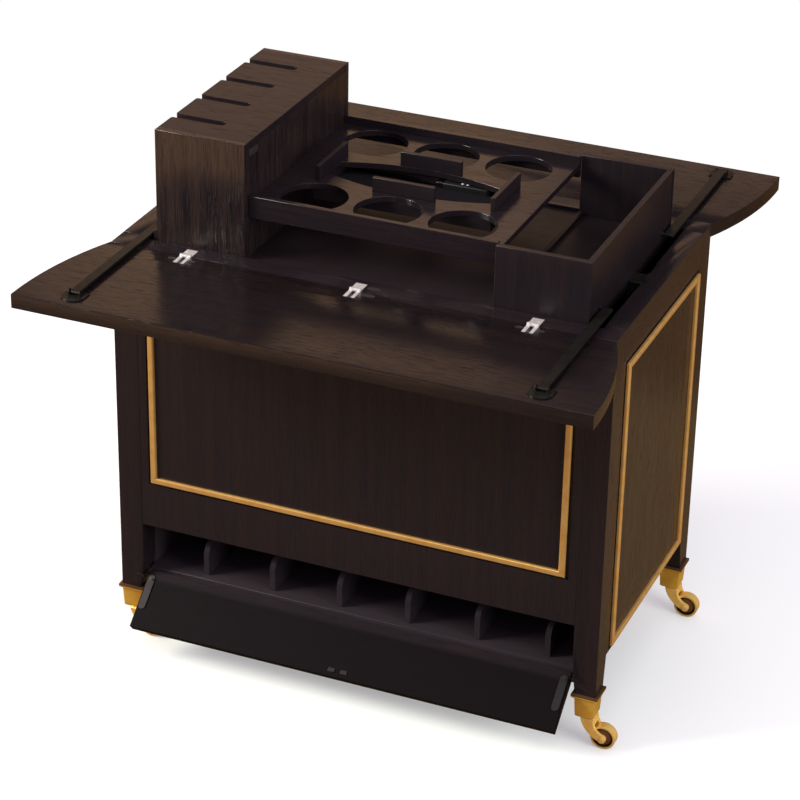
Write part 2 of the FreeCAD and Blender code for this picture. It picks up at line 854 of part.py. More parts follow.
def knife_handle():
    """Handle: two straight scales, fuller towards the butt, with a rounded end."""
    x0 = knife_left + knife_blade_length + knife_bolster_length
    x1 = knife_left + knife_length
    middle = knife_back - knife_blade_height / 2
    half = knife_handle_height / 2
    end = face_of([
        Part.makeLine(Vec(x0, middle - half, felt_top), Vec(x1 - half, middle - half, felt_top)),
        Part.Arc(
            Vec(x1 - half, middle - half, felt_top), Vec(x1, middle, felt_top),
            Vec(x1 - half, middle + half, felt_top)).toShape(),
        Part.makeLine(Vec(x1 - half, middle + half, felt_top), Vec(x0, middle + half, felt_top)),
        Part.makeLine(Vec(x0, middle + half, felt_top), Vec(x0, middle - half, felt_top))])
    handle = end.extrude(Z_AXIS * knife_handle_thickness)
    upper = edges_on_plane(handle, "z", felt_top + knife_handle_thickness)
    return handle.makeChamfer(knife_edge_chamfer, upper)


def bin_boards():
    """Front, rear and end boards of the deep bin; it is open under the tray."""
    front = box(bin_left, insert_x, -insert_y, -insert_y + bin_board, base_top, tray_z)
    end = box(
        insert_x - bin_board, insert_x, -insert_y + bin_board, insert_y - bin_board, base_top, tray_z)
    return group([front, mirrored(front, Y_AXIS), end])


def guide_shoe():
    """Forked shoe under the end of the insert, straddling the guide rail."""
    half = guide_width / 2
    body = box(
        insert_x, well_x - slide_gap, -half - shoe_cheek, half + shoe_cheek,
        base_top - shoe_height, base_top)
    slot = box(
        well_x - guide_proud - slide_gap, well_x, -half - slide_gap, half + slide_gap,
        base_top - 2 * shoe_height, rim_height)
    return body.cut(slot)


# ---------------------------------------------------------------- bottle flap

def open_flap(shape):
    """Swing a piece from the closed place of the flap to the drawn one."""
    return turned(shape, flap_open_angle, Vec(0, flap_axis_y, flap_axis_z), X_AXIS)


def flap_board():
    board = box(
        -flap_end, flap_end, -face_y, -face_y + flap_thickness,
        flap_bottom, flap_bottom + flap_height)
    socket = rod(
        Vec(flap_end - flap_pin_reach, flap_axis_y, flap_axis_z), X_AXIS,
        2 * flap_pin_reach, flap_pin_radius + running_fit)
    board = board.cut(socket).cut(mirrored(socket, X_AXIS))
    return open_flap(board)


def flap_fittings():
    """Two round-ended straps at the ends and two small catches by the free edge."""
    inner_y = -face_y + flap_thickness
    low = flap_bottom + strap_end_margin
    shapes = []
    for side in SIDES:
        strap = stadium(strap_length, strap_width, strap_thickness)
        strap = turned(strap, 90, ORIGIN, Y_AXIS)
        strap = turned(strap, 90, ORIGIN, Z_AXIS)
        strap = moved(
            strap, side * (flap_end - strap_inset - strap_width / 2), inner_y, low + strap_length / 2)
        shapes.append(open_flap(strap))
        catch = box(
            side * catch_spacing / 2 - catch_length / 2, side * catch_spacing / 2 + catch_length / 2,
            inner_y, inner_y + catch_proud,
            flap_bottom + flap_height - 2 * catch_width, flap_bottom + flap_height - catch_width)
        shapes.append(open_flap(catch))
    return group(shapes)


# ---------------------------------------------------------------- casters

def bowed(start, end, bow):
    """Arc in the XZ plane whose middle lies off its chord by bow, forward and down."""
    chord = end.sub(start)
    across = Vec(-abs(chord.z), 0, -abs(chord.x)).normalize()
    middle = (start + end) * 0.5 + across * bow
    return Part.Arc(start, middle, end).toShape()


def on_boss(angle):
    """Point of the round boss at the axle, the angle counted from +X."""
    turn = math.radians(angle)
    return Vec(
        caster_trail + horn_boss_radius * math.cos(turn), 0,
        wheel_radius + horn_boss_radius * math.sin(turn))


def horn():
    """Curved two-pronged horn with its stem and axle, trailing towards +X, stem axis on the origin."""
    top = caster_height - horn_swivel_gap
    crown_front = Vec(-horn_front_reach, 0, top)
    crown_rear = Vec(horn_rear_reach, 0, top)
    low = on_boss(horn_front_angle)
    high = on_boss(horn_rear_angle)
    tip = Part.Arc(low, on_boss((horn_front_angle + horn_rear_angle) / 2 - 180), high).toShape()
    side = face_of([
        bowed(crown_front, low, horn_bow), tip, bowed(high, crown_rear, horn_bow),
        Part.makeLine(crown_rear, crown_front)])
    solid = moved(side, 0, -horn_width / 2).extrude(Y_AXIS * horn_width)
    shoulders = [
        edge for edge in edges_on_plane(solid, "z", top)
        if abs(edge.Vertexes[0].Point.y - edge.Vertexes[-1].Point.y) < horn_width / 2]
    solid = solid.makeChamfer(horn_crown_chamfer, shoulders)
    half_slot = wheel_width / 2 + face_gap
    slot = box(
        -cabinet_depth, cabinet_depth, -half_slot, half_slot, -rim_height, top - horn_crown_height)
    stem = rod(Vec(0, 0, top - weld_overlap), Z_AXIS, stem_length + weld_overlap, stem_radius)
    axle = rod(Vec(caster_trail, -horn_width / 2, wheel_radius), Y_AXIS, horn_width, axle_radius)
    heads = []
    for hand in SIDES:
        start = Vec(caster_trail, hand * (horn_width / 2 - weld_overlap), wheel_radius)
        heads.append(rod(start, Y_AXIS * hand, axle_head_height + weld_overlap, axle_head_radius))
    return solid.cut(slot).fuse(stem).fuse(axle).fuse(heads).removeSplitter()


def wheel():
    """Brass wheel on the Y axis, its two faces dished inside a raised rim."""
    half = wheel_width / 2
    rim_inner = wheel_radius - wheel_rim
    bore = axle_radius + running_fit
    points = [
        Vec(bore, -half, 0), Vec(rim_inner, -half + wheel_dish, 0),
        Vec(rim_inner, -half, 0), Vec(wheel_radius, -half, 0)]
    other = [Vec(p.x, -p.y, 0) for p in reversed(points)]
    profile = outline(points + other)
    return profile.revolve(ORIGIN, Y_AXIS, 360)


CORNERS = {
    "front_left": (-1, -1),
    "front_right": (1, -1),
    "rear_left": (-1, 1),
    "rear_right": (1, 1),
}


def both_ends(shape):
    return group([shape, mirrored(shape, X_AXIS)])


def build():
    os.makedirs("parts", exist_ok=True)

    for corner, (sx, sy) in CORNERS.items():
        save("post_" + corner, post(sx, sy))
        save("caster_horn_" + corner, moved(horn(), sx * caster_x, sy * caster_y))
        save("caster_wheel_" + corner,
             moved(wheel(), sx * caster_x + caster_trail, sy * caster_y, wheel_radius))
        hand = arm(sx)
        save("arm_" + corner, hand if sy < 0 else mirrored(hand, Y_AXIS))
    save("caster_cups", group(four_corners(caster_cup())))

    save("rim_rail_rear", long_rail())
    save("rim_rail_front", mirrored(long_rail(), Y_AXIS))
    save("rim_rail_right", end_rail())
    save("rim_rail_left", mirrored(end_rail(), X_AXIS))

    front_panel = panel(post_x, front_panel_bottom, long_bead_half, long_bead_bottom, bead_top)
    rear_panel = panel(post_x, shelf_bottom, long_bead_half, long_bead_bottom, bead_top)
    end_panel = panel(post_y, side_panel_bottom, end_bead_half, end_bead_bottom, bead_top)
    long_bead = bead(long_bead_half, long_bead_bottom, bead_top)
    end_bead = bead(end_bead_half, end_bead_bottom, bead_top)
    save("panel_front", on_front(front_panel))
    save("panel_rear", on_rear(rear_panel))
    save("panel_left", on_left(end_panel))
    save("panel_right", on_right(end_panel))
    save("bead_front", on_front(long_bead))
    save("bead_rear", on_rear(long_bead))
    save("bead_left", on_left(end_bead))
    save("bead_right", on_right(end_bead))

    save("bottle_shelf", box(-post_x, post_x, -shelf_front, panel_y, shelf_bottom, shelf_top))
    save("bottle_dividers", group(bottle_divider(x) for x in divider_places()))
    save("bay_end_boards", both_ends(box(
        post_x, post_x + bay_end_thickness, -post_y, post_y, shelf_bottom, front_panel_bottom)))
    save("well_floor", well_floor())
    save("lift_guides", both_ends(lift_guide()))
    save("flap_pivots", group(flap_pivot(side) for side in SIDES))
    rear_hinges = [rim_hinge(middle) for middle in hinge_middles()]
    front_hinges = [mirrored(piece, Y_AXIS) for piece in rear_hinges]
    save("rim_hinges", group(rear_hinges + front_hinges))

    leaf_pieces = {
        "leaf": leaf_board(),
        "leaf_hinges": group(leaf_hinge(middle) for middle in hinge_middles()),
        "leaf_brackets": group(leaf_bracket(side) for side in SIDES),
    }
    for name, shape in leaf_pieces.items():
        save("front_" + name, shape)
        save("rear_" + name, mirrored(shape, Y_AXIS))

    save("lift_base", lift_base())
    save("left_end_rail", left_end_rail())
    save("block_boards", block_boards())
    save("block_lid", block_lid())
    save("blank_plate", blank_plate())
    save("tray_rails", group([tray_rail(), mirrored(tray_rail(), Y_AXIS)]))
    save("tray_plate", tray_plate())
    save("knife_guard", knife_guard())
    save("knife_well", knife_well())
    save("knife_felt", knife_felt())
    save("knife_blade", knife_blade())
    save("knife_handle", knife_handle())
    save("bin_boards", bin_boards())
    save("guide_shoes", both_ends(guide_shoe()))
    save("arm_studs", group(stud(side, sy) for side in SIDES for sy in SIDES))

    save("bottle_flap", flap_board())
    save("flap_fittings", flap_fittings())


build()
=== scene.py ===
"""Cheese trolley: finishes, small hardware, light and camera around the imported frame."""

from __future__ import annotations

import json
import logging
import math
from dataclasses import dataclass
from enum import Enum

import bmesh
import bpy
import numpy as np
from bpy.types import Material, Object
from mathutils import Matrix, Vector

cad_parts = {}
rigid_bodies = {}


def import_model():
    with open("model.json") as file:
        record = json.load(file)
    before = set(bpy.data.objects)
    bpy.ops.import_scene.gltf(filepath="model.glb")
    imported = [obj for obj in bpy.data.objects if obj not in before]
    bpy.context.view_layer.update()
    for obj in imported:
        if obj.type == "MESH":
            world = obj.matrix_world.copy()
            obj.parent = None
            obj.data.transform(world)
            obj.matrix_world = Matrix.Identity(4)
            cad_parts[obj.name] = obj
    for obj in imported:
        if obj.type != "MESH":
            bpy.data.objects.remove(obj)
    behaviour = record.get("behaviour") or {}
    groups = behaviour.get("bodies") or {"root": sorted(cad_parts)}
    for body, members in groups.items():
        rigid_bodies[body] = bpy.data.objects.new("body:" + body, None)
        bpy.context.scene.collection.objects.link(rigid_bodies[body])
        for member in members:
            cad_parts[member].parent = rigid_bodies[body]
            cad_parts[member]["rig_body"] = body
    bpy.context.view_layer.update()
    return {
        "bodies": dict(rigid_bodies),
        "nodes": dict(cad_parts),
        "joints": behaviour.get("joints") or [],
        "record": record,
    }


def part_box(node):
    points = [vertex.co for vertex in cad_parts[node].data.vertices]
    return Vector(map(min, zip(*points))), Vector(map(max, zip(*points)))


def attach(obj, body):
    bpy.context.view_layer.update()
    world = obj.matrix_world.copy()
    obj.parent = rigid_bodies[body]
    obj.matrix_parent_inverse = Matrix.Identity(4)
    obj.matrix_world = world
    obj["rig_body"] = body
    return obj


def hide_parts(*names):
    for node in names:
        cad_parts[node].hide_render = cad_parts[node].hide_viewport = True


LOG = logging.getLogger("trolley")
MM = 0.001
SIDES = (-1, 1)
ENDS = {-1: "front", 1: "rear"}
CORNERS = ("front_left", "front_right", "rear_left", "rear_right")
UP = Vector((0, 0, 1))
LENGTHWISE = Vector((1, 0, 0))

FRAME: dict = {}

Colour = tuple[float, float, float]
Triple = tuple[float, float, float]
Pair = tuple[float, float]
Faces = list[tuple[int, ...]]


class Grain(Enum):
    """Direction in which the wood's grain runs."""

    ALONG_X = 0
    ALONG_Y = 1
    ALONG_Z = 2


class Slot(Enum):
    """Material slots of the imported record."""

    OAK = "dark_oak"
    BRASS = "brass"
    STEEL = "dark_steel"
    NICKEL = "nickel"
    FELT = "felt"
    BLADE = "blade"
    HANDLE = "black_handle"


# ---- shader expressions


class Value:
    """One socket of a node tree, with arithmetic that adds the nodes it needs."""

    def __init__(self, tree: Tree, socket: bpy.types.NodeSocket) -> None:
        """Keep the tree and the socket.

        Args:
            tree: Node tree that new nodes go into.
            socket: Output that this value stands for.
        """
        self.tree = tree
        self.socket = socket

    def _math(self, operation: str, first: Value | float, second: Value | float) -> Value:
        """Add a Math node for an operation on two values."""
        return self.tree.add("ShaderNodeMath", {"operation": operation}, {0: first, 1: second})

    def __add__(self, other: Value | float) -> Value:
        """Sum."""
        return self._math("ADD", self, other)

    __radd__ = __add__

    def __mul__(self, other: Value | float) -> Value:
        """Product."""
        return self._math("MULTIPLY", self, other)

    __rmul__ = __mul__

    def __sub__(self, other: Value | float) -> Value:
        """Difference."""
        return self._math("SUBTRACT", self, other)

    def __rsub__(self, other: float) -> Value:
        """Difference with this value taken away."""
        return self._math("SUBTRACT", other, self)

    def clamp(self) -> Value:
        """This value kept from 0 to 1."""
        return self.tree.add("ShaderNodeClamp", {}, {"Value": self})

    def steps(self, low: float, high: float) -> Value:
        """Smooth step from 0 at low to 1 at high.

        Args:
            low: Value at which the step starts.
            high: Value at which the step ends.

        Returns:
            The stepped value.
        """
        return self.tree.add("ShaderNodeMapRange", {"interpolation_type": "SMOOTHSTEP"}, {
            "Value": self, "From Min": low, "From Max": high})


class Tree:
    """Node tree of one material or world, written as expressions."""

    COLOUR_INPUTS = (6, 7)
    COLOUR_OUTPUT = 2

    def __init__(self, owner: Material | bpy.types.World) -> None:
        """Empty the owner's node tree and keep it.

        Args:
            owner: Material or world whose tree is written.
        """
        owner.use_nodes = True
        self.nodes = owner.node_tree.nodes
        self.links = owner.node_tree.links
        self.nodes.clear()

    def add(
        self,
        kind: str,
        settings: dict[str, object] | None = None,
        inputs: dict[str | int, object] | None = None,
        output: str | int = 0,
    ) -> Value | None:
        """Add a node.

        Args:
            kind: Node type.
            settings: Properties of the node, which are set first.
            inputs: Values or links by socket name or number.
            output: Socket that the returned value stands for.

        Returns:
            The chosen output as a value, or None for a node without outputs.
        """
        node = self.nodes.new(kind)
        for name, value in (settings or {}).items():
            setattr(node, name, value)
        for key, value in (inputs or {}).items():
            socket = node.inputs[key]
            if isinstance(value, Value):
                self.links.new(value.socket, socket)
            else:
                socket.default_value = value
        return Value(self, node.outputs[output]) if len(node.outputs) else None

    @staticmethod
    def _opaque(colour: Value | Colour) -> Value | tuple[float, ...]:
        """A value as it is, or a plain colour with an alpha of 1."""
        return colour if isinstance(colour, Value) else (*colour, 1.0)

    def mix(self, factor: Value | float, first: Value | Colour, second: Value | Colour) -> Value:
        """Blend of two colours.

        Args:
            factor: Share of the second colour.
            first: Colour at 0.
            second: Colour at 1.

        Returns:
            The mixed colour.
        """
        at_zero, at_one = self.COLOUR_INPUTS
        return self.add("ShaderNodeMix", {"data_type": "RGBA"}, {
            0: factor, at_zero: self._opaque(first), at_one: self._opaque(second),
        }, output=self.COLOUR_OUTPUT)

    def place(self, scale: Triple = (1, 1, 1), shift: Triple = (0, 0, 0)) -> Value:
        """Object coordinates, stretched and shifted.

        Args:
            scale: Factor for each axis.
            shift: Offset added after scaling.

        Returns:
            The vector.
        """
        coordinates = self.add("ShaderNodeTexCoord", output="Object")
        return self.add("ShaderNodeMapping", {}, {
            "Vector": coordinates, "Scale": scale, "Location": shift})

    def length(self, where: Value) -> Value:
        """Distance of a place from the origin of its coordinates."""
        return self.add(
            "ShaderNodeVectorMath", {"operation": "LENGTH"}, {0: where}, output="Value")

    def noise(self, where: Value, scale: float, detail: float, rough: float) -> Value:
        """Noise around 0.5.

        Args:
            where: Coordinates.
            scale: Scale of the noise.
            detail: Octaves.
            rough: Strength of the finer octaves.

        Returns:
            The noise value.
        """
        return self.add("ShaderNodeTexNoise", {"noise_dimensions": "3D"}, {
            "Vector": where, "Scale": scale, "Detail": detail, "Roughness": rough})

    def bump(self, height: Value, distance: float, strength: float) -> Value:
        """Normal bumped by a height.

        Args:
            height: Height value from 0 to 1.
            distance: Real height in metres.
            strength: Strength of the effect.

        Returns:
            The normal.
        """
        return self.add("ShaderNodeBump", {}, {
            "Height": height, "Distance": distance, "Strength": strength})

    def surface(self, inputs: dict[str | int, object]) -> None:
        """Principled surface wired to the material's output.

        Args:
            inputs: Values or links by socket name.
        """
        shader = self.add("ShaderNodeBsdfPrincipled", {}, inputs)
        self.add("ShaderNodeOutputMaterial", {}, {"Surface": shader})


def new_material(name: str) -> tuple[Material, Tree]:
    """New material and its empty tree."""
    material = bpy.data.materials.new(name)
    return material, Tree(material)


# ---- finishes


@dataclass(frozen=True)
class OakFinish:
    """Ebonised open-pored oak under a glossy lacquer.

    The grain is noise stretched along the board. Broad bands and fine fibres, each stepped and
    weighted, add up to the tone between dark and light. Pores lift the roughness and dent the
    surface. Past a plane, where a direction is given, the wood has one darker tone: painted shade
    on that face of the board.
    """

    name: str
    grain: Grain
    dark: Colour = (0.0098, 0.0080, 0.0104)
    light: Colour = (0.0168, 0.0106, 0.0100)
    pore: Colour = (0.0068, 0.0056, 0.0072)
    roughness: float = 0.21
    specular: float = 0.5
    pore_depth: float = 0.00006
    seed: float = 0.0
    # Painted shade: past a plane in this direction the wood takes one darker tone.
    painted_face_shade_side: Triple | None = None
    painted_face_shade_from: float = 0.0
    painted_face_shade_blend: float = 1 * MM
    painted_face_shade_tone: Colour = (0.0048, 0.0034, 0.0040)
    seed_shift: Triple = (3.1, 5.7, 2.3)
    fibre_scale: Pair = (430.0, 17.0)
    fibre_steps: Pair = (0.42, 0.66)
    fibre_share: float = 0.55
    fibre_dent: float = 0.35
    band_scale: Pair = (60.0, 1.8)
    band_steps: Pair = (0.34, 0.70)
    band_share: float = 0.50
    band_rough: float = 0.12
    pore_scale: float = 1.6
    pore_steps: Pair = (0.58, 0.68)
    pore_rough: float = 0.20
    pore_dent: float = 0.8
    smoother: float = 0.06
    bump_strength: float = 0.5

    def along_grain(self, tree: Tree, scale: Pair) -> Value:
        """Coordinates for noise that is drawn out along the grain.

        Args:
            tree: Tree of the material.
            scale: Scale across the grain and along it.

        Returns:
            The coordinates, moved by the seed.
        """
        across, along = scale
        factors = [across] * 3
        factors[self.grain.value] = along
        return tree.place(tuple(factors), tuple(self.seed * step for step in self.seed_shift))

    def make(self) -> Material:
        """Build the material.

        Returns:
            The material.
        """
        material, tree = new_material(self.name)
        fine = self.along_grain(tree, self.fibre_scale)
        fibres = tree.noise(fine, scale=1.0, detail=2.0, rough=0.6)
        bands = tree.noise(
            self.along_grain(tree, self.band_scale), scale=1.0, detail=4.0, rough=0.62)
        pores = tree.noise(
            fine, scale=self.pore_scale, detail=2.0, rough=0.6).steps(*self.pore_steps)
        tone = (bands.steps(*self.band_steps) * self.band_share
                + fibres.steps(*self.fibre_steps) * self.fibre_share).clamp()
        colour = tree.mix(pores, tree.mix(tone, self.dark, self.light), self.pore)
        # Painted shade: a darker tone past the plane, on a face that the light leaves dim.
        if self.painted_face_shade_side is not None:
            depth = tree.add("ShaderNodeVectorMath", {"operation": "DOT_PRODUCT"}, {
                0: tree.place(), 1: self.painted_face_shade_side}, output="Value")
            inside = depth.steps(
                self.painted_face_shade_from - self.painted_face_shade_blend, self.painted_face_shade_from + self.painted_face_shade_blend)
            colour = tree.mix(inside, colour, self.painted_face_shade_tone)
        rough = self.roughness + pores * self.pore_rough + bands * self.band_rough - self.smoother
        height = 1.0 - pores * self.pore_dent - fibres * self.fibre_dent
        tree.surface({
            "Base Color": colour, "Roughness": rough, "Specular IOR Level": self.specular,
            "Normal": tree.bump(height, self.pore_depth, self.bump_strength)})
        return material


@dataclass(frozen=True)
class MetalFinish:
    """Metal brushed along Z, with slight tarnish in broad patches.

    Noise in broad patches blends the colour into the tarnish, and fine noise drawn out along Z
    dents the surface. Above a given height, where one is given, the metal has a dark tone:
    painted shade, standing for the dark that the tops of the cups' lips mirror.
    """

    name: str
    colour: Colour
    tarnish: Colour
    roughness: float
    metallic: float = 1.0
    # Painted shade: above this height the metal takes a dark tone.
    painted_top_shade_from: float | None = None
    painted_top_shade_blend: float = 0.8 * MM
    painted_top_shade_tone: Colour = (0.16, 0.085, 0.035)
    patch_scale: float = 55.0
    patch_steps: Pair = (0.35, 0.75)
    patch_rough: float = 0.10
    brush_stretch: Triple = (1, 1, 0.06)
    brush_scale: float = 2600.0
    brush_rough: float = 0.05
    brush_depth: float = 0.00002
    smoother: float = 0.05
    bump_strength: float = 0.5

    def make(self) -> Material:
        """Build the material.

        Returns:
            The material.
        """
        material, tree = new_material(self.name)
        patches = tree.noise(tree.place(), self.patch_scale, detail=4.0, rough=0.6)
        brush = tree.noise(
            tree.place(self.brush_stretch), self.brush_scale, detail=2.0, rough=0.5)
        colour = tree.mix(patches.steps(*self.patch_steps), self.colour, self.tarnish)
        # Painted shade: dark tone above the given height.
        if self.painted_top_shade_from is not None:
            height = tree.add("ShaderNodeSeparateXYZ", {}, {0: tree.place()}, output="Z")
            edge = height.steps(self.painted_top_shade_from, self.painted_top_shade_from + self.painted_top_shade_blend)
            colour = tree.mix(edge, colour, self.painted_top_shade_tone)
        rough = (self.roughness + patches * self.patch_rough - self.smoother
                 + brush * self.brush_rough)
        tree.surface({
            "Base Color": colour, "Metallic": self.metallic, "Roughness": rough,
            "Normal": tree.bump(brush, self.brush_depth, self.bump_strength)})
        return material


@dataclass(frozen=True)
class WheelFinish:
    """Cast brass wheel: bright tread and rim, a dark ring inside it, a brown dished disc.

    The dark ring is painted shadow, standing for the shadow of the step inside the rim. The tone
    follows the distance from the axle, which runs along Y. Noise makes its edges uneven.
    """

    name: str
    axle: Triple
    bright: Colour
    # Painted shadow: dark ring standing for the shadow of the step inside the rim.
    ring: Colour
    disc: Colour
    disc_radius: float = 14.0 * MM
    shade_ring_outer: float = 17.9 * MM
    soft: float = 0.7 * MM
    edge_jitter: float = 1.5
    roughness: float = 0.28
    metallic: float = 0.55
    patch_scale: float = 140.0
    patch_rough: float = 0.12

    def outside(self, jittered_radius: Value, radius: float) -> Value:
        """Smooth step from 0 within a radius to 1 beyond it."""
        return jittered_radius.steps(radius - self.soft, radius + self.soft)

    def make(self) -> Material:
        """Build the material.

        Returns:
            The material.
        """
        material, tree = new_material(self.name)
        axle_x, _, axle_z = self.axle
        radius = tree.length(tree.place((1, 0, 1), (-axle_x, 0, -axle_z)))
        patches = tree.noise(tree.place(), self.patch_scale, detail=3.0, rough=0.6)
        jittered_radius = radius + patches * (self.edge_jitter * self.soft)
        # Noise makes the edges of the painted shadow ring and of the disc uneven.
        inner = tree.mix(self.outside(jittered_radius, self.disc_radius), self.disc, self.ring)
        colour = tree.mix(self.outside(jittered_radius, self.shade_ring_outer), inner, self.bright)
        tree.surface({
            "Base Color": colour, "Metallic": self.metallic,
            "Roughness": self.roughness + patches * self.patch_rough})
        return material


@dataclass(frozen=True)
class FeltFinish:
    """Black wool felt: fine noise lightens the colour and raises the fuzz."""

    name: str
    colour: Colour
    fuzz_scale: float = 1500.0
    fuzz_light: float = 2.4
    fuzz_height: float = 0.0003
    fuzz_strength: float = 0.8
    roughness: float = 0.95
    specular: float = 0.1

    def make(self) -> Material:
        """Build the material.

        Returns:
            The material.
        """
        material, tree = new_material(self.name)
        fuzz = tree.noise(tree.place(), self.fuzz_scale, detail=4.0, rough=0.7)
        light = tuple(self.fuzz_light * channel for channel in self.colour)
        tree.surface({
            "Base Color": tree.mix(fuzz, self.colour, light), "Roughness": self.roughness,
            "Specular IOR Level": self.specular,
            "Normal": tree.bump(fuzz, self.fuzz_height, self.fuzz_strength)})
        return material


# ---- mesh making


def linked(name: str, data: bpy.types.ID) -> Object:
    """New object that is linked to the scene.

    Args:
        name: Name of the object.
        data: Its mesh, lamp or camera.

    Returns:
        The object.
    """
    made = bpy.data.objects.new(name, data)
    bpy.context.scene.collection.objects.link(made)
    return made


def mesh_object(name: str, points: np.ndarray, faces: Faces) -> Object:
    """Object made of points and faces, linked to the scene.

    Args:
        name: Name of the piece.
        points: Array of n by 3 coordinates in metres.
        faces: Corner numbers of each face.

    Returns:
        The object.
    """
    mesh = bpy.data.meshes.new(name)
    mesh.from_pydata(points.tolist(), [], faces)
    mesh.update()
    return linked(name, mesh)


def ring_faces(rings: int, steps: int) -> Faces:
    """Quads between closed rings of points numbered ring by ring.

    A point's number is its ring times the number of steps plus its step. Each quad joins a
    point, the one after it on its ring, and the same two on the next ring.

    Args:
        rings: How many rings.
        steps: Points on each ring.

    Returns:
        The quads.
    """
    ring, step = np.meshgrid(np.arange(rings - 1), np.arange(steps), indexing="ij")
    near, far, after = ring * steps, (ring + 1) * steps, (step + 1) % steps
    quads = np.stack([near + step, near + after, far + after, far + step], -1)
    return [tuple(quad) for quad in quads.reshape(-1, 4).tolist()]


def clean_mesh(
    mesh: bpy.types.Mesh, merge: float = 1e-6, flat: float | None = None, sharp: float = 32.0
) -> None:
    """Merge doubles, join flat faces, point the faces outwards and shade smooth by angle.

    Args:
        mesh: The mesh.
        merge: Distance in metres under which corners are merged.
        flat: Degrees between two faces up to which they are joined, if they are joined at all.
        sharp: Degrees between two faces past which their edge stays sharp.
    """
    work = bmesh.new()
    work.from_mesh(mesh)
    bmesh.ops.remove_doubles(work, verts=work.verts, dist=merge)
    if flat is not None:
        bmesh.ops.dissolve_limit(
            work, angle_limit=math.radians(flat), verts=work.verts, edges=work.edges,
            delimit=set())
    bmesh.ops.recalc_face_normals(work, faces=work.faces)
    work.to_mesh(mesh)
    work.free()
    mesh.shade_smooth()
    mesh.set_sharp_from_angle(angle=math.radians(sharp))


def lathe(name: str, profile: tuple[Pair, ...], centre: Vector, steps: int = 24) -> Object:
    """Closed surface of revolution round an upright axis.

    Each point is the profile's radius times the cosine of the turn along X and times its sine
    along Y, and the profile's height along Z. The profile starts and ends on the axis.

    Args:
        name: Name of the piece.
        profile: Pairs of radius and height in metres.
        centre: Point of the axis at height 0.
        steps: Faces round the axis.

    Returns:
        The object.
    """
    radius, height = np.array(profile).T[:, :, None]
    turn = np.linspace(0, 2 * math.pi, steps, endpoint=False)
    points = np.stack((
        radius * np.cos(turn), radius * np.sin(turn),
        np.broadcast_to(height, (len(profile), steps))), -1)
    made = mesh_object(
        name, points.reshape(-1, 3) + np.array(centre), ring_faces(len(profile), steps))
    clean_mesh(made.data)
    return made


@dataclass(frozen=True)
class Easing:
    """How the mesh of a CAD node is cleaned and its edges are eased; angles in degrees."""

    merge: float = 2e-6
    flat: float = 1.0
    sharp: float = 40.0
    edge_angle: float = 30.0
    segments: int = 2


EASING = Easing()


def dress(piece: Object, material: Material) -> Object:
    """Give a piece its only material.

    Args:
        piece: The piece.
        material: Its material.

    Returns:
        The same piece.
    """
    piece.data.materials.clear()
    piece.data.materials.append(material)
    return piece


def soft_copy(node: str, name: str, width: float, material: Material) -> Object:
    """Dressed copy of a CAD node with its triangles merged and its edges eased.

    Args:
        node: CAD node that the piece stands for.
        name: Name of the piece.
        width: Width of the eased edge in metres.
        material: Its material.

    Returns:
        The piece, riding on the node's body in its place.
    """
    source = FRAME["nodes"][node]
    mesh = source.data.copy()
    mesh.name = name
    clean_mesh(mesh, EASING.merge, EASING.flat, EASING.sharp)
    piece = linked(name, mesh)
    bevel = piece.modifiers.new("eased_edges", "BEVEL")
    bevel.width = width
    bevel.segments = EASING.segments
    bevel.limit_method = "ANGLE"
    bevel.angle_limit = math.radians(EASING.edge_angle)
    bevel.use_clamp_overlap = True
    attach(piece, source["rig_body"])
    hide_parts(node)
    return dress(piece, material)


# ---- small hardware


class Fasteners:
    """Small heads and caps on one body, gathered in one mesh."""

    MERGE = 1e-7

    def __init__(self) -> None:
        """Start with no points and no faces."""
        self.points: list[np.ndarray] = []
        self.faces: Faces = []
        self.count = 0

    def add(
        self, points: np.ndarray, faces: Faces, place: Vector, out: Vector, along: Vector
    ) -> None:
        """Add a closed shape made in its own frame.

        Each corner goes to the place plus its x along, its y across and its z out.

        Args:
            points: Corners, with Z pointing out of the surface.
            faces: Corner numbers of each face.
            place: Where its origin goes, in metres.
            out: Direction out of the surface.
            along: Direction of its X axis, square to out.
        """
        frame = np.array((along, out.cross(along), out))
        self.points.append(points @ frame + np.array(place))
        self.faces += [tuple(i + self.count for i in face) for face in faces]
        self.count += len(points)

    def make(self, name: str, node: str, material: Material, slot: Slot) -> Object:
        """Turn the gathered shapes into one piece.

        Args:
            name: Name of the piece.
            node: CAD node whose body the piece rides on.
            material: Its material.
            slot: Not used.

        Returns:
            The piece.
        """
        piece = mesh_object(name, np.concatenate(self.points), self.faces)
        clean_mesh(piece.data, self.MERGE)
        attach(piece, FRAME["nodes"][node]["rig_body"])
        return dress(piece, material)


def turned(angle: float) -> Vector:
    """Level direction at an angle from X: its cosine along X and its sine along Y."""
    return Vector((math.cos(angle), math.sin(angle), 0))


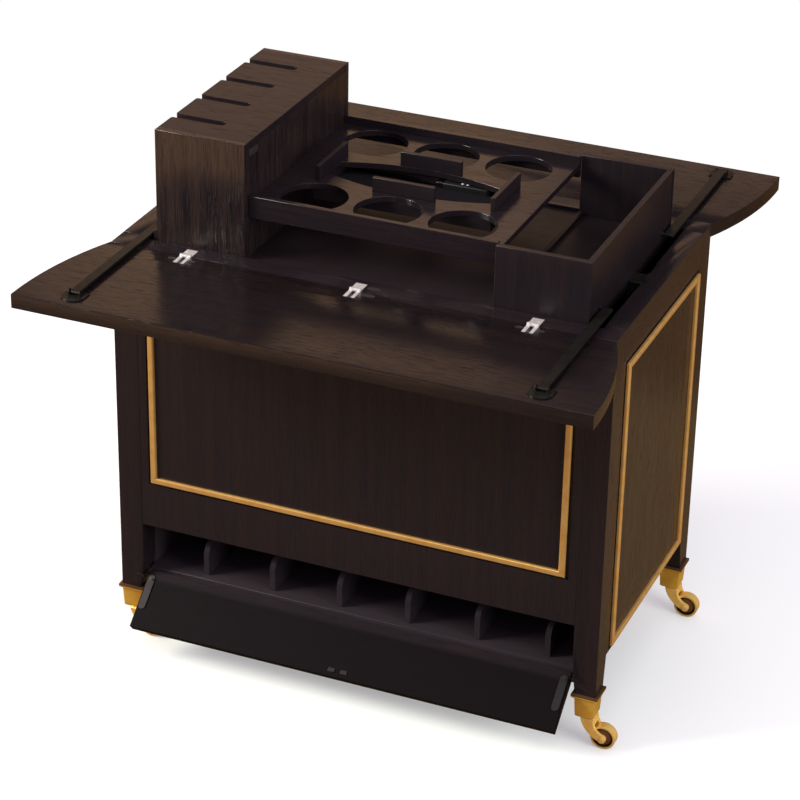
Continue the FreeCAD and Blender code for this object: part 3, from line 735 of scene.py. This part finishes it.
def slotted_head(
    radius: float, height: float, slot: float = 0.28, slot_floor: float = 0.25,
    sunk: float = 0.1 * MM, steps: int = 12,
) -> tuple[np.ndarray, Faces]:
    """Flat screw head with a slot across it, as one closed shape.

    The outline is the radius times the cosine and sine of an angle that runs over the two arcs
    beside the slot. It is carried from below the surface to the top, and the four ends of the
    arcs have a corner each on the floor of the slot.

    Args:
        radius: Radius of the head in metres.
        height: How far it stands out of the surface.
        slot: Width of the slot as a share of the radius.
        slot_floor: Height of the slot's floor as a share of the height.
        sunk: How far the shape reaches into the surface.
        steps: Faces round each arc.

    Returns:
        Points and faces.
    """
    turn = math.asin(slot / 2)
    upper = np.linspace(turn, math.pi - turn, steps + 1)
    angles = np.concatenate((upper, upper + math.pi))
    circle = np.stack((radius * np.cos(angles), radius * np.sin(angles)), 1)
    count = len(circle)
    half = steps + 1
    low = np.column_stack((circle, np.full(count, -sunk)))
    top = np.column_stack((circle, np.full(count, height)))
    ends = circle[[0, half - 1, half, count - 1]]
    floor = np.column_stack((ends, np.full(len(ends), slot_floor * height)))
    points = np.concatenate((low, top, floor))
    f0, f1, f2, f3 = range(2 * count, 2 * count + len(ends))
    faces: Faces = [
        tuple(range(count))[::-1],
        tuple(range(count, count + half)), tuple(range(count + half, 2 * count))]
    faces += [(i, i + 1, count + i + 1, count + i)
              for start in (0, half) for i in range(start, start + steps)]
    # The walls next to the slot also touch its floor.
    faces[3] = (0, 1, count + 1, count, f0)
    faces[2 + steps] = (half - 2, half - 1, f1, count + half - 1, count + half - 2)
    faces[3 + steps] = (half, half + 1, count + half + 1, count + half, f2)
    faces[2 + 2 * steps] = (count - 2, count - 1, f3, 2 * count - 1, 2 * count - 2)
    faces += [
        (f0, f1, f2, f3), (f1, f0, count, count + half - 1), (f3, f2, count + half, 2 * count - 1),
        (half - 1, half, f2, f1), (count - 1, 0, f0, f3)]
    return points, faces


# Rings of an oval cap from below to its middle: share of the lip's width, share of the height.
CAP_RINGS = ((0.0, -0.5), (0.0, 0.7), (0.1, 1.0), (0.9, 1.0), (1.0, 0.7), (1.1, 0.15))


def oval_cap(
    length: float, width: float, height: float, lip: float = 0.28, steps: int = 24
) -> tuple[np.ndarray, Faces]:
    """Oval plate with a raised lip round a sunk middle, as one closed shape.

    Each ring is half the length less its inset times the cosine of the turn along X, half the
    width less its inset times the sine along Y, and its own height along Z.

    Args:
        length: Size along X in metres.
        width: Size along Y.
        height: How far the lip stands out of the surface.
        lip: Width of the lip as a share of the half width.
        steps: Faces round the oval.

    Returns:
        Points and faces.
    """
    turn = np.linspace(0, 2 * math.pi, steps, endpoint=False)
    rings = len(CAP_RINGS)
    share_in, share_up = np.array(CAP_RINGS).T[:, :, None]
    inset, level = share_in * (lip * width / 2), share_up * height
    points = np.stack((
        (length / 2 - inset) * np.cos(turn), (width / 2 - inset) * np.sin(turn),
        np.broadcast_to(level, (rings, steps))), -1).reshape(-1, 3)
    faces = ring_faces(rings, steps)
    faces.append(tuple(range(steps))[::-1])
    faces.append(tuple(range((rings - 1) * steps, rings * steps)))
    return points, faces


# ---- sub-assemblies


@dataclass
class Cabinet:
    """Posts, rails, panels, beads, well and bottle bay of the fixed body."""

    post_ease: float = 0.9 * MM
    board_ease: float = 0.5 * MM
    bead_ease: float = 0.25 * MM

    OAKS = (
        OakFinish("oak_posts", Grain.ALONG_Z, seed=1.0),
        OakFinish("oak_front_panels", Grain.ALONG_Z, seed=2.0),
        OakFinish(
            "oak_end_panels", Grain.ALONG_Z, dark=(0.0075, 0.0060, 0.0070),
            light=(0.0300, 0.0195, 0.0145), pore_depth=0.00040, seed=3.0),
        OakFinish("oak_long_rails", Grain.ALONG_X, seed=4.0),
        OakFinish("oak_end_rails", Grain.ALONG_Y, seed=5.0),
        # Painted fill light: the next two finishes are lighter copies of the oak, lifting the
        # shade on the boards inside the bottle bay and the well.
        OakFinish(
            "oak_inside_painted_fill", Grain.ALONG_X, dark=(0.031, 0.025, 0.030),
            light=(0.041, 0.031, 0.034), pore=(0.025, 0.020, 0.025), roughness=0.45, seed=6.0),
        OakFinish(
            "oak_dividers_painted_fill", Grain.ALONG_Y, dark=(0.022, 0.018, 0.022),
            light=(0.029, 0.022, 0.024), roughness=0.5, specular=0.2, seed=14.0))
    BOARDS = {
        "rim_rail_front": "oak_long_rails", "rim_rail_rear": "oak_long_rails",
        "rim_rail_left": "oak_end_rails", "rim_rail_right": "oak_end_rails",
        "panel_front": "oak_front_panels", "panel_rear": "oak_front_panels",
        "panel_left": "oak_end_panels", "panel_right": "oak_end_panels",
        "bottle_shelf": "oak_inside_painted_fill", "bottle_dividers": "oak_dividers_painted_fill",
        "bay_end_boards": "oak_inside_painted_fill", "well_floor": "oak_inside_painted_fill"}

    def build(self) -> list[Object]:
        """Dress every fixed piece.

        Returns:
            The pieces.
        """
        oak = {finish.name: finish.make() for finish in self.OAKS}
        bead = MetalFinish(
            "brass_bead", (0.88, 0.55, 0.17), (0.78, 0.44, 0.11), roughness=0.34,
            metallic=0.65).make()
        made = [
            soft_copy("post_" + corner, "post_board_" + corner, self.post_ease,
                         oak["oak_posts"])
            for corner in CORNERS]
        made += [
            soft_copy(node, node + "_board", self.board_ease, oak[wood])
            for node, wood in self.BOARDS.items()]
        made += [
            soft_copy("bead_" + side, "brass_bead_" + side, self.bead_ease, bead)
            for side in ("front", "rear", "left", "right")]
        return made


@dataclass
class TopSet:
    """Small hardware of one kind on the top: on the rim, and on each leaf by side."""

    rim: Fasteners
    leaf: dict[int, Fasteners]

    @classmethod
    def empty(cls) -> TopSet:
        """Set with nothing in it."""
        return cls(Fasteners(), {side: Fasteners() for side in SIDES})


@dataclass
class Leaves:
    """The two folding leaves with hinges, caps, brackets and screws.

    A spot on the top is a distance along X from the middle of its hinge, and a distance out from
    the line between rim and leaf. Sizes of caps are length, width and height.
    """

    leaf_ease: float = 1.2 * MM
    hinge_ease: float = 0.3 * MM
    bracket_ease: float = 0.35 * MM
    arm_ease: float = 0.7 * MM
    hinge_spacing: float = 292 * MM
    face_y: float = 237.5 * MM
    top_z: float = 736 * MM
    screw_radius: float = 1.9 * MM
    screw_height: float = 0.2 * MM
    slot_turn: float = 0.7
    slot_spread: float = 9.0
    rim_screw: Pair = (5.2 * MM, -14.5 * MM)
    leaf_screw: Pair = (6.6 * MM, 18 * MM)
    large_cap: Triple = (23 * MM, 10.5 * MM, 0.2 * MM)
    small_cap: Triple = (14 * MM, 6.5 * MM, 0.2 * MM)
    cap_middle: Triple = (10 * MM, 5 * MM, 0.1 * MM)
    rim_cap_spot: Pair = (25 * MM, -14 * MM)
    rim_middle_spot: Pair = (27 * MM, -14 * MM)
    leaf_cap_spot: Pair = (26 * MM, 11 * MM)
    small_cap_spot: Pair = (17 * MM, 15 * MM)
    arm_x: float = 380 * MM
    bracket_z: float = 738.2 * MM
    bracket_screw_radius: float = 2.1 * MM
    bracket_screw_height: float = 0.12 * MM
    bracket_screws_at: tuple[Pair, ...] = (
        (-13.5 * MM, 440.5 * MM), (13.5 * MM, 440.5 * MM), (0.0, 453.0 * MM))
    bracket_slot_turns: Triple = (0.4, 1.1, 0.2)

    def on_top(self, spot: Pair, side: int, middle: float = 0.0, hand: int = 1) -> Vector:
        """Point on the top.

        Args:
            spot: Distance along X, and out from the line between rim and leaf.
            side: -1 at the front and 1 at the rear.
            middle: Where along X the distance starts.
            hand: -1 to the left of the middle and 1 to the right.

        Returns:
            The point in metres.
        """
        along, out = spot
        return Vector((middle + hand * along, side * (self.face_y + out), self.top_z))

    def hinge_screws(self) -> TopSet:
        """Two screws in each rim plate and one in each prong.

        Returns:
            The screws.
        """
        head = slotted_head(self.screw_radius, self.screw_height)
        screws = TopSet.empty()
        for side in SIDES:
            for middle in (-self.hinge_spacing, 0.0, self.hinge_spacing):
                for hand in SIDES:
                    slot = turned(self.slot_turn * hand + middle * self.slot_spread)
                    place = self.on_top(self.rim_screw, side, middle, hand)
                    screws.rim.add(*head, place, UP, slot)
                    place = self.on_top(self.leaf_screw, side, middle, hand)
                    screws.leaf[side].add(*head, place, UP, LENGTHWISE)
        return screws

    def caps(self) -> TopSet:
        """Oval caps beside the hinges.

        Returns:
            The caps.
        """
        large, small = oval_cap(*self.large_cap), oval_cap(*self.small_cap)
        caps = TopSet.empty()
        for side in SIDES:
            caps.rim.add(*large, self.on_top(self.rim_cap_spot, side), UP, LENGTHWISE)
            caps.leaf[side].add(*large, self.on_top(self.leaf_cap_spot, side), UP, LENGTHWISE)
            for middle in (-self.hinge_spacing, self.hinge_spacing):
                for hand in SIDES:
                    place = self.on_top(self.small_cap_spot, side, middle, hand)
                    caps.leaf[side].add(*small, place, UP, LENGTHWISE)
        return caps

    def cap_middles(self) -> TopSet:
        """Dark sunk middles of the large oval caps.

        Returns:
            The middles.
        """
        dark = oval_cap(*self.cap_middle)
        middles = TopSet.empty()
        for side in SIDES:
            middles.rim.add(*dark, self.on_top(self.rim_middle_spot, side), UP, LENGTHWISE)
            middles.leaf[side].add(*dark, self.on_top(self.leaf_cap_spot, side), UP, LENGTHWISE)
        return middles

    def bracket_screws(self, side: int) -> Fasteners:
        """Three screws in each bracket of one leaf.

        Args:
            side: -1 for the front leaf and 1 for the rear one.

        Returns:
            The screws.
        """
        screws = Fasteners()
        head = slotted_head(self.bracket_screw_radius, self.bracket_screw_height)
        for hand in SIDES:
            for (x, y), turn in zip(self.bracket_screws_at, self.bracket_slot_turns):
                place = Vector((hand * self.arm_x + x, side * y, self.bracket_z))
                screws.add(*head, place, UP, turned(turn))
        return screws

    def build(self, metals: dict[str, Material]) -> list[Object]:
        """Dress the leaves and their hardware.

        Args:
            metals: Shared finishes by name.

        Returns:
            The pieces.
        """
        steel, nickel = metals["steel"], metals["nickel"]
        lacquer = OakFinish(
            "oak_leaves", Grain.ALONG_X, dark=(0.0066, 0.0050, 0.0064),
            light=(0.0132, 0.0076, 0.0058), roughness=0.20, pore_depth=0.00016, seed=7.0).make()
        made = []
        for end in ENDS.values():
            leaf = end + "_leaf"
            made += [
                soft_copy(leaf, leaf + "_board", self.leaf_ease, lacquer),
                soft_copy(
                    leaf + "_hinges", end + "_hinge_prongs", self.hinge_ease, nickel),
                soft_copy(
                    leaf + "_brackets", end + "_arm_brackets", self.bracket_ease, steel)]
        made.append(soft_copy(
            "rim_hinges", "rim_hinge_plates", self.hinge_ease, nickel))
        for corner in CORNERS:
            made.append(soft_copy(
                "arm_" + corner, "arm_bar_" + corner, self.arm_ease, steel))
        sets = (
            ("_hinge_screws", self.hinge_screws(), nickel, Slot.NICKEL),
            ("_oval_caps", self.caps(), metals["cap"], Slot.STEEL),
            ("_cap_middles", self.cap_middles(), metals["strap"], Slot.STEEL))
        for ending, hardware, finish, slot in sets:
            made.append(hardware.rim.make("rim" + ending, "rim_hinges", finish, slot))
        for side, end in ENDS.items():
            leaf = end + "_leaf"
            for ending, hardware, finish, slot in sets:
                made.append(hardware.leaf[side].make(end + ending, leaf, finish, slot))
            made.append(self.bracket_screws(side).make(
                end + "_bracket_screws", leaf, steel, Slot.STEEL))
        return made


@dataclass
class Insert:
    """The lift insert: stemware block, tray, bin, knife well and knife."""

    wood_ease: float = 0.7 * MM
    felt_ease: float = 0.3 * MM
    blade_ease: float = 0.3 * MM
    handle_ease: float = 0.4 * MM
    plate_ease: float = 0.25 * MM
    shoe_ease: float = 0.5 * MM
    stub_ease: float = 0.4 * MM
    rivet_x: Pair = (61.0 * MM, 70.0 * MM)
    rivet_y: float = 50.2 * MM
    handle_top: float = 812 * MM
    rivet_profile: tuple[Pair, ...] = (
        (0.0, -0.1 * MM), (2.6 * MM, -0.1 * MM), (2.5 * MM, 0.15 * MM), (1.5 * MM, 0.4 * MM),
        (0.0, 0.5 * MM))

    OAKS = (
        OakFinish(
            "oak_block", Grain.ALONG_Z, dark=(0.0075, 0.0060, 0.0072),
            light=(0.0290, 0.0180, 0.0140), pore_depth=0.00045, seed=8.0),
        OakFinish("oak_block_lid", Grain.ALONG_X, specular=0.16, seed=9.0),
        OakFinish(
            "oak_lift_base", Grain.ALONG_X, dark=(0.0125, 0.0092, 0.0104),
            light=(0.0180, 0.0115, 0.0108), pore=(0.0130, 0.0100, 0.0120), roughness=0.4,
            specular=0.3, seed=15.0),
        OakFinish("oak_tray", Grain.ALONG_X, roughness=0.20, seed=10.0),
        OakFinish("oak_bin", Grain.ALONG_Z, roughness=0.3, seed=11.0),
        OakFinish("oak_guard", Grain.ALONG_X, roughness=0.3, seed=12.0))
    BOARDS = {
        "block_boards": "oak_block", "block_lid": "oak_block_lid", "tray_plate": "oak_tray",
        "tray_rails": "oak_tray", "knife_guard": "oak_guard", "knife_well": "oak_guard",
        "bin_boards": "oak_bin", "lift_base": "oak_lift_base", "left_end_rail": "oak_guard"}

    def rivets(self, material: Material) -> list[Object]:
        """Rivets of the knife, near white: real rivets, with their glint painted into the colour.

        Args:
            material: Their finish.

        Returns:
            The rivets.
        """
        made = []
        for number, x in enumerate(self.rivet_x):
            place = Vector((x, self.rivet_y, self.handle_top))
            rivet = lathe(f"knife_rivet_{number}", self.rivet_profile, place)
            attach(rivet, FRAME["nodes"]["knife_handle"]["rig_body"])
            made.append(dress(rivet, material))
        return made

    def build(self, metals: dict[str, Material]) -> list[Object]:
        """Dress the insert.

        Args:
            metals: Shared finishes by name.

        Returns:
            The pieces.
        """
        oak = {finish.name: finish.make() for finish in self.OAKS}
        felt = FeltFinish("black_felt", (0.0052, 0.0044, 0.0052)).make()
        steel = metals["steel"]
        made = [
            soft_copy(node, node + "_wood", self.wood_ease, oak[wood])
            for node, wood in self.BOARDS.items()]
        for node, name, width, finish, slot in (
            ("knife_felt", "knife_well_lining", self.felt_ease, felt, Slot.FELT),
            ("knife_blade", "knife_blade_steel", self.blade_ease, metals["blade"], Slot.BLADE),
            ("knife_handle", "knife_handle_scales", self.handle_ease, metals["handle"],
             Slot.HANDLE),
            ("blank_plate", "bare_plate", self.plate_ease, metals["cap"], Slot.STEEL),
            ("guide_shoes", "lift_shoes", self.shoe_ease, steel, Slot.STEEL),
            ("arm_studs", "arm_stubs", self.stub_ease, steel, Slot.STEEL),
        ):
            made.append(soft_copy(node, name, width, finish))
        return made + self.rivets(metals["rivet"])


@dataclass
class Casters:
    """Brass cups, horns and wheels."""

    cup_ease: float = 0.5 * MM
    horn_ease: float = 0.8 * MM
    wheel_ease: float = 0.6 * MM
    head_reach: float = 16.2 * MM
    head_radius: float = 2.6 * MM
    head_height: float = 0.35 * MM
    slot_turn: float = 0.6
    tread: Colour = (1.0, 0.69, 0.18)
    # Painted shadow: dark ring inside the wheels' rims, standing for the shadow of the step there.
    ring: Colour = (0.034, 0.020, 0.013)
    disc: Colour = (0.185, 0.088, 0.046)

    def axle(self, corner: str) -> Triple:
        """Middle of a wheel.

        Args:
            corner: Name of the corner.

        Returns:
            Its place in metres.
        """
        low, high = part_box("caster_wheel_" + corner)
        return tuple((a + b) / 2 for a, b in zip(low, high))

    def axle_screws(self, corner: str) -> Fasteners:
        """Screw heads on both ends of an axle.

        Args:
            corner: Name of the corner.

        Returns:
            The heads.
        """
        screws = Fasteners()
        x, y, z = self.axle(corner)
        slot = Vector((math.cos(self.slot_turn), 0, math.sin(self.slot_turn)))
        for hand in SIDES:
            screws.add(
                *slotted_head(self.head_radius, self.head_height),
                Vector((x, y + hand * self.head_reach, z)), Vector((0, hand, 0)), slot)
        return screws

    def build(self, metals: dict[str, Material]) -> list[Object]:
        """Dress the casters.

        Args:
            metals: Shared finishes by name.

        Returns:
            The pieces.
        """
        made = [soft_copy(
            "caster_cups", "brass_cups", self.cup_ease, metals["cup"])]
        for corner in CORNERS:
            wheel = WheelFinish(
                "brass_wheel_" + corner, self.axle(corner), self.tread, self.ring, self.disc)
            made += [
                soft_copy(
                    "caster_horn_" + corner, "brass_horn_" + corner, self.horn_ease,
                    metals["brass"]),
                soft_copy(
                    "caster_wheel_" + corner, "brass_wheel_" + corner, self.wheel_ease,
                    wheel.make()),
                self.axle_screws(corner).make(
                    "axle_screws_" + corner, "caster_horn_" + corner, metals["screw"],
                    Slot.BRASS)]
        return made


@dataclass
class Flap:
    """The bottle flap and its fittings, open at 130 degrees."""

    tilt: float = math.radians(50.0)
    strap: Triple = (370.1 * MM, -254.3 * MM, 105.5 * MM)
    inner_depth: float = 6 * MM
    screw_pitch: float = 24 * MM
    screw_radius: float = 2.2 * MM
    screw_height: float = 0.25 * MM
    board_ease: float = 0.8 * MM
    strap_ease: float = 0.4 * MM
    pivot_ease: float = 0.3 * MM
    guide_ease: float = 0.5 * MM

    def strap_screws(self, out: Vector) -> Fasteners:
        """Two screws in the strap at each end of the flap.

        Args:
            out: Direction out of the flap's inner side.

        Returns:
            The screws.
        """
        screws = Fasteners()
        down = Vector((0, -math.cos(self.tilt), -math.sin(self.tilt)))
        x, y, z = self.strap
        for hand in SIDES:
            for step in SIDES:
                screws.add(
                    *slotted_head(self.screw_radius, self.screw_height),
                    Vector((hand * x, y, z)) + down * (step * self.screw_pitch), out, LENGTHWISE)
        return screws

    def build(self, metals: dict[str, Material]) -> list[Object]:
        """Dress the flap and the guides of the lift.

        Args:
            metals: Shared finishes by name.

        Returns:
            The pieces.
        """
        steel, strap = metals["steel"], metals["strap"]
        out = Vector((0, -math.sin(self.tilt), math.cos(self.tilt)))
        # Painted shade: past a plane 6 mm below the strap, the flap's inner face takes a darker
        # tone.
        wood = OakFinish(
            "oak_flap", Grain.ALONG_X, roughness=0.5, specular=0.06, pore_depth=0.00003,
            painted_face_shade_side=tuple(out), painted_face_shade_from=Vector(self.strap).dot(out) - self.inner_depth,
            seed=13.0).make()
        return [
            self.strap_screws(out).make("strap_screws", "flap_fittings", steel, Slot.STEEL),
            soft_copy("bottle_flap", "bottle_flap_board", self.board_ease, wood),
            soft_copy("flap_fittings", "flap_straps", self.strap_ease, strap),
            soft_copy("flap_pivots", "flap_pivot_plates", self.pivot_ease, strap),
            soft_copy("lift_guides", "lift_guide_rails", self.guide_ease, steel),
        ]


# ---- floor, light and camera


WHITE = (1.0, 1.0, 1.0)
WARM = (1.0, 0.59, 0.30)


@dataclass(frozen=True)
class Lamp:
    """Soft rectangular lamp that the camera doesn't see.

    Its place and aim are points in metres, its size is width and height, its power is in watts.
    """

    name: str
    place: Triple
    aim: Triple
    size: Pair
    power: float
    colour: Colour = WHITE
    mirrored: bool = True

    def light(self) -> None:
        """Put the lamp into the scene, facing its aim."""
        data = bpy.data.lights.new(self.name, "AREA")
        data.shape = "RECTANGLE"
        data.size, data.size_y = self.size
        data.energy = self.power
        data.color = self.colour
        made = linked(self.name, data)
        made.location = self.place
        made.visible_camera = False
        made.visible_glossy = self.mirrored
        ahead = Vector(self.aim) - Vector(self.place)
        made.rotation_mode = "QUATERNION"
        made.rotation_quaternion = ahead.to_track_quat("-Z", "Y")


@dataclass
class Studio:
    """Pale floor, soft light and the camera.

    Angles are in radians, lens and sensor in millimetres, places in metres. The floor is white
    paper to the camera. In reflections it has zones of tan, which start and end between pairs
    of Y: darker in front of the trolley, painted shade for its front faces to mirror; brighter
    beside and behind it, painted warm light for its sides to mirror; darker again further back.
    """

    yaw: float = 0.38970
    pitch: float = 0.48370
    roll: float = 0.02000
    lens: float = 125.489
    sensor: float = 36.0
    eye: Triple = (1.54130, -3.80110, 2.58521)
    dim: Colour = (0.092, 0.069, 0.072)
    ambient: Colour = (0.72, 0.60, 0.80)
    tan: Colour = (0.190, 0.105, 0.055)
    # Painted warm light: brighter tan beside and behind the trolley, for its sides to mirror.
    beside_painted_warm_light: Colour = (0.235, 0.155, 0.055)
    tan_far: Colour = (0.125, 0.072, 0.020)
    # Painted shade: darker tan in front of the trolley, for its front faces to mirror.
    front_painted_shade: Colour = (0.105, 0.068, 0.038)
    front_starts: Pair = (-2.1, -1.8)
    front_ends: Pair = (-0.45, -0.2)
    middle_starts: Pair = (-0.4, -0.1)
    far_starts: Pair = (0.85, 1.15)
    paper: Colour = (0.93, 0.99, 0.89)
    floor_glow: float = 0.30
    shadow_reach: float = 1.35
    white_from: float = 2.30
    floor_size: float = 40.0

    LAMPS = (
        Lamp("top_soft", (0.9, -1.0, 4.5), (0.3, -0.3, 0), (3.2, 3.2), 45.0),
        Lamp("left_key", (-4.0, -2.4, 3.0), (0, 0, 0.5), (2.0, 2.0), 350.0, (1.0, 0.95, 0.88)),
        Lamp("right_fill", (4.0, -1.4, 1.6), (0, 0, 0.5), (2.0, 2.0), 130.0, (0.95, 0.97, 1.0),
             mirrored=False),
        Lamp("rear_card_high", (-1.90, 3.5, 2.75), (-0.3, 0, 0.8), (1.7, 1.0), 3.2, WARM),
        Lamp("rear_card_low", (-1.30, 3.5, 2.00), (-0.3, 0, 0.8), (2.4, 0.7), 2.4, WARM),
        Lamp("floor_card", (-1.25, -2.35, 0.02), (-1.25, -2.35, 1.0), (1.9, 1.1), 6.0, WARM))

    def camera(self) -> None:
        """Camera at the photograph's place.

        The view axis turns by yaw round Z and tips down by pitch, then the picture rolls.
        """
        sy, cy = math.sin(self.yaw), math.cos(self.yaw)
        sp, cp = math.sin(self.pitch), math.cos(self.pitch)
        ahead = Vector((-sy * cp, cy * cp, -sp))
        level = Vector((cy, sy, 0))
        above = level.cross(ahead)
        right = math.cos(self.roll) * level + math.sin(self.roll) * above
        up = right.cross(ahead)
        data = bpy.data.cameras.new("camera")
        data.sensor_width = self.sensor
        data.lens = self.lens
        made = linked("camera", data)
        turn = Matrix((right, up, -ahead)).transposed().to_4x4()
        made.matrix_world = Matrix.Translation(self.eye) @ turn
        bpy.context.scene.camera = made

    def world(self) -> None:
        """White for the camera, a dim room in reflections and ambient light for the rest."""
        world = bpy.data.worlds.new("studio")
        bpy.context.scene.world = world
        tree = Tree(world)
        seen = tree.add("ShaderNodeLightPath", output="Is Camera Ray")
        mirrored = tree.add("ShaderNodeLightPath", output="Is Glossy Ray")
        colour = tree.mix(seen, tree.mix(mirrored, self.ambient, self.dim), WHITE)
        light = tree.add("ShaderNodeBackground", {}, {"Color": colour, "Strength": 1.0})
        tree.add("ShaderNodeOutputWorld", {}, {"Surface": light})

    def boards(self, tree: Tree, where: Value) -> Value:
        """Tan of the floor in reflections, with painted shade in front of the trolley and painted
        warm light beside and behind it.

        Args:
            tree: Tree of the floor's material.
            where: Object coordinates.

        Returns:
            The colour.
        """
        y = tree.add("ShaderNodeSeparateXYZ", {}, {0: where}, output="Y")
        front = y.steps(*self.front_starts) * (1.0 - y.steps(*self.front_ends))
        rear = tree.mix(y.steps(*self.far_starts), self.beside_painted_warm_light, self.tan_far)
        return tree.mix(
            front, tree.mix(y.steps(*self.middle_starts), self.tan, rear), self.front_painted_shade)

    def floor(self) -> None:
        """Floor that keeps the shadow, glows a little near the object and fully far off."""
        half = self.floor_size / 2
        points = np.array([(-half, -half, 0), (half, -half, 0), (half, half, 0), (-half, half, 0)])
        plane = mesh_object("floor", points, [(0, 1, 2, 3)])
        material, tree = new_material("floor_paper")
        seen = tree.add("ShaderNodeLightPath", output="Is Camera Ray")
        where = tree.place()
        colour = tree.mix(seen, self.boards(tree, where), self.paper)
        lit = tree.add("ShaderNodeBsdfDiffuse", {}, {"Color": colour})
        glow = tree.add("ShaderNodeEmission", {}, {"Color": (*WHITE, 1.0), "Strength": 1.0})
        far = tree.length(where).steps(self.shadow_reach, self.white_from)
        share = far * (1.0 - self.floor_glow) + self.floor_glow
        shader = tree.add("ShaderNodeMixShader", {}, {0: seen * share, 1: lit, 2: glow})
        tree.add("ShaderNodeOutputMaterial", {}, {"Surface": shader})
        plane.data.materials.append(material)

    def build(self) -> None:
        """Set the studio up."""
        bpy.context.scene.view_settings.view_transform = "Standard"
        self.camera()
        self.world()
        self.floor()
        for lamp in self.LAMPS:
            lamp.light()


# ---- the whole trolley


def finishes() -> dict[str, Material]:
    """Metals and small finishes shared by the sub-assemblies.

    Each has its colour, its tarnish, its roughness and its share of metal.

    Returns:
        Materials by short name.
    """
    shared = {
        "brass": MetalFinish("brass_cast", (1.0, 0.68, 0.17), (0.88, 0.53, 0.10), 0.28, 0.40),
        # Painted shade: the tops of the cups' lips, from 4 mm below the top, take a dark tone.
        "cup": MetalFinish(
            "brass_cup", (0.97, 0.63, 0.095), (0.88, 0.51, 0.06), 0.28, 0.55,
            painted_top_shade_from=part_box("caster_cups")[1][2] - 4.0 * MM),
        "screw": MetalFinish("brass_screw", (1.0, 0.82, 0.40), (0.95, 0.72, 0.28), 0.25, 0.5),
        "nickel": MetalFinish("nickel_bright", (0.84, 0.80, 0.74), (0.74, 0.70, 0.64), 0.28, 0.55),
        "steel": MetalFinish(
            "steel_dark", (0.052, 0.050, 0.042), (0.034, 0.033, 0.028), 0.34, 0.85),
        "strap": MetalFinish(
            "steel_strap", (0.026, 0.022, 0.023), (0.019, 0.016, 0.017), 0.42, 0.6),
        "cap": MetalFinish("steel_cap", (0.120, 0.105, 0.090), (0.080, 0.070, 0.060), 0.34, 0.75),
        # Rivets: real, but near white and hardly metallic, so the colour paints in their glint.
        "rivet": MetalFinish("rivet_painted_glint", (0.98, 0.96, 0.90), (0.94, 0.91, 0.84), 0.25, 0.1),
        "blade": MetalFinish("steel_blade", (0.16, 0.16, 0.17), (0.11, 0.11, 0.12), 0.22),
        "handle": MetalFinish(
            "handle_black", (0.012, 0.012, 0.013), (0.008, 0.008, 0.009), 0.35, 0.0),
    }
    return {name: finish.make() for name, finish in shared.items()}


def main() -> None:
    """Build the scene round the frame."""
    logging.basicConfig(level=logging.INFO)
    FRAME.update(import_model())
    Studio().build()
    metals = finishes()
    pieces = Cabinet().build()
    for part in (Leaves(), Insert(), Casters(), Flap()):
        pieces += part.build(metals)


if __name__ == "__main__":
    main()
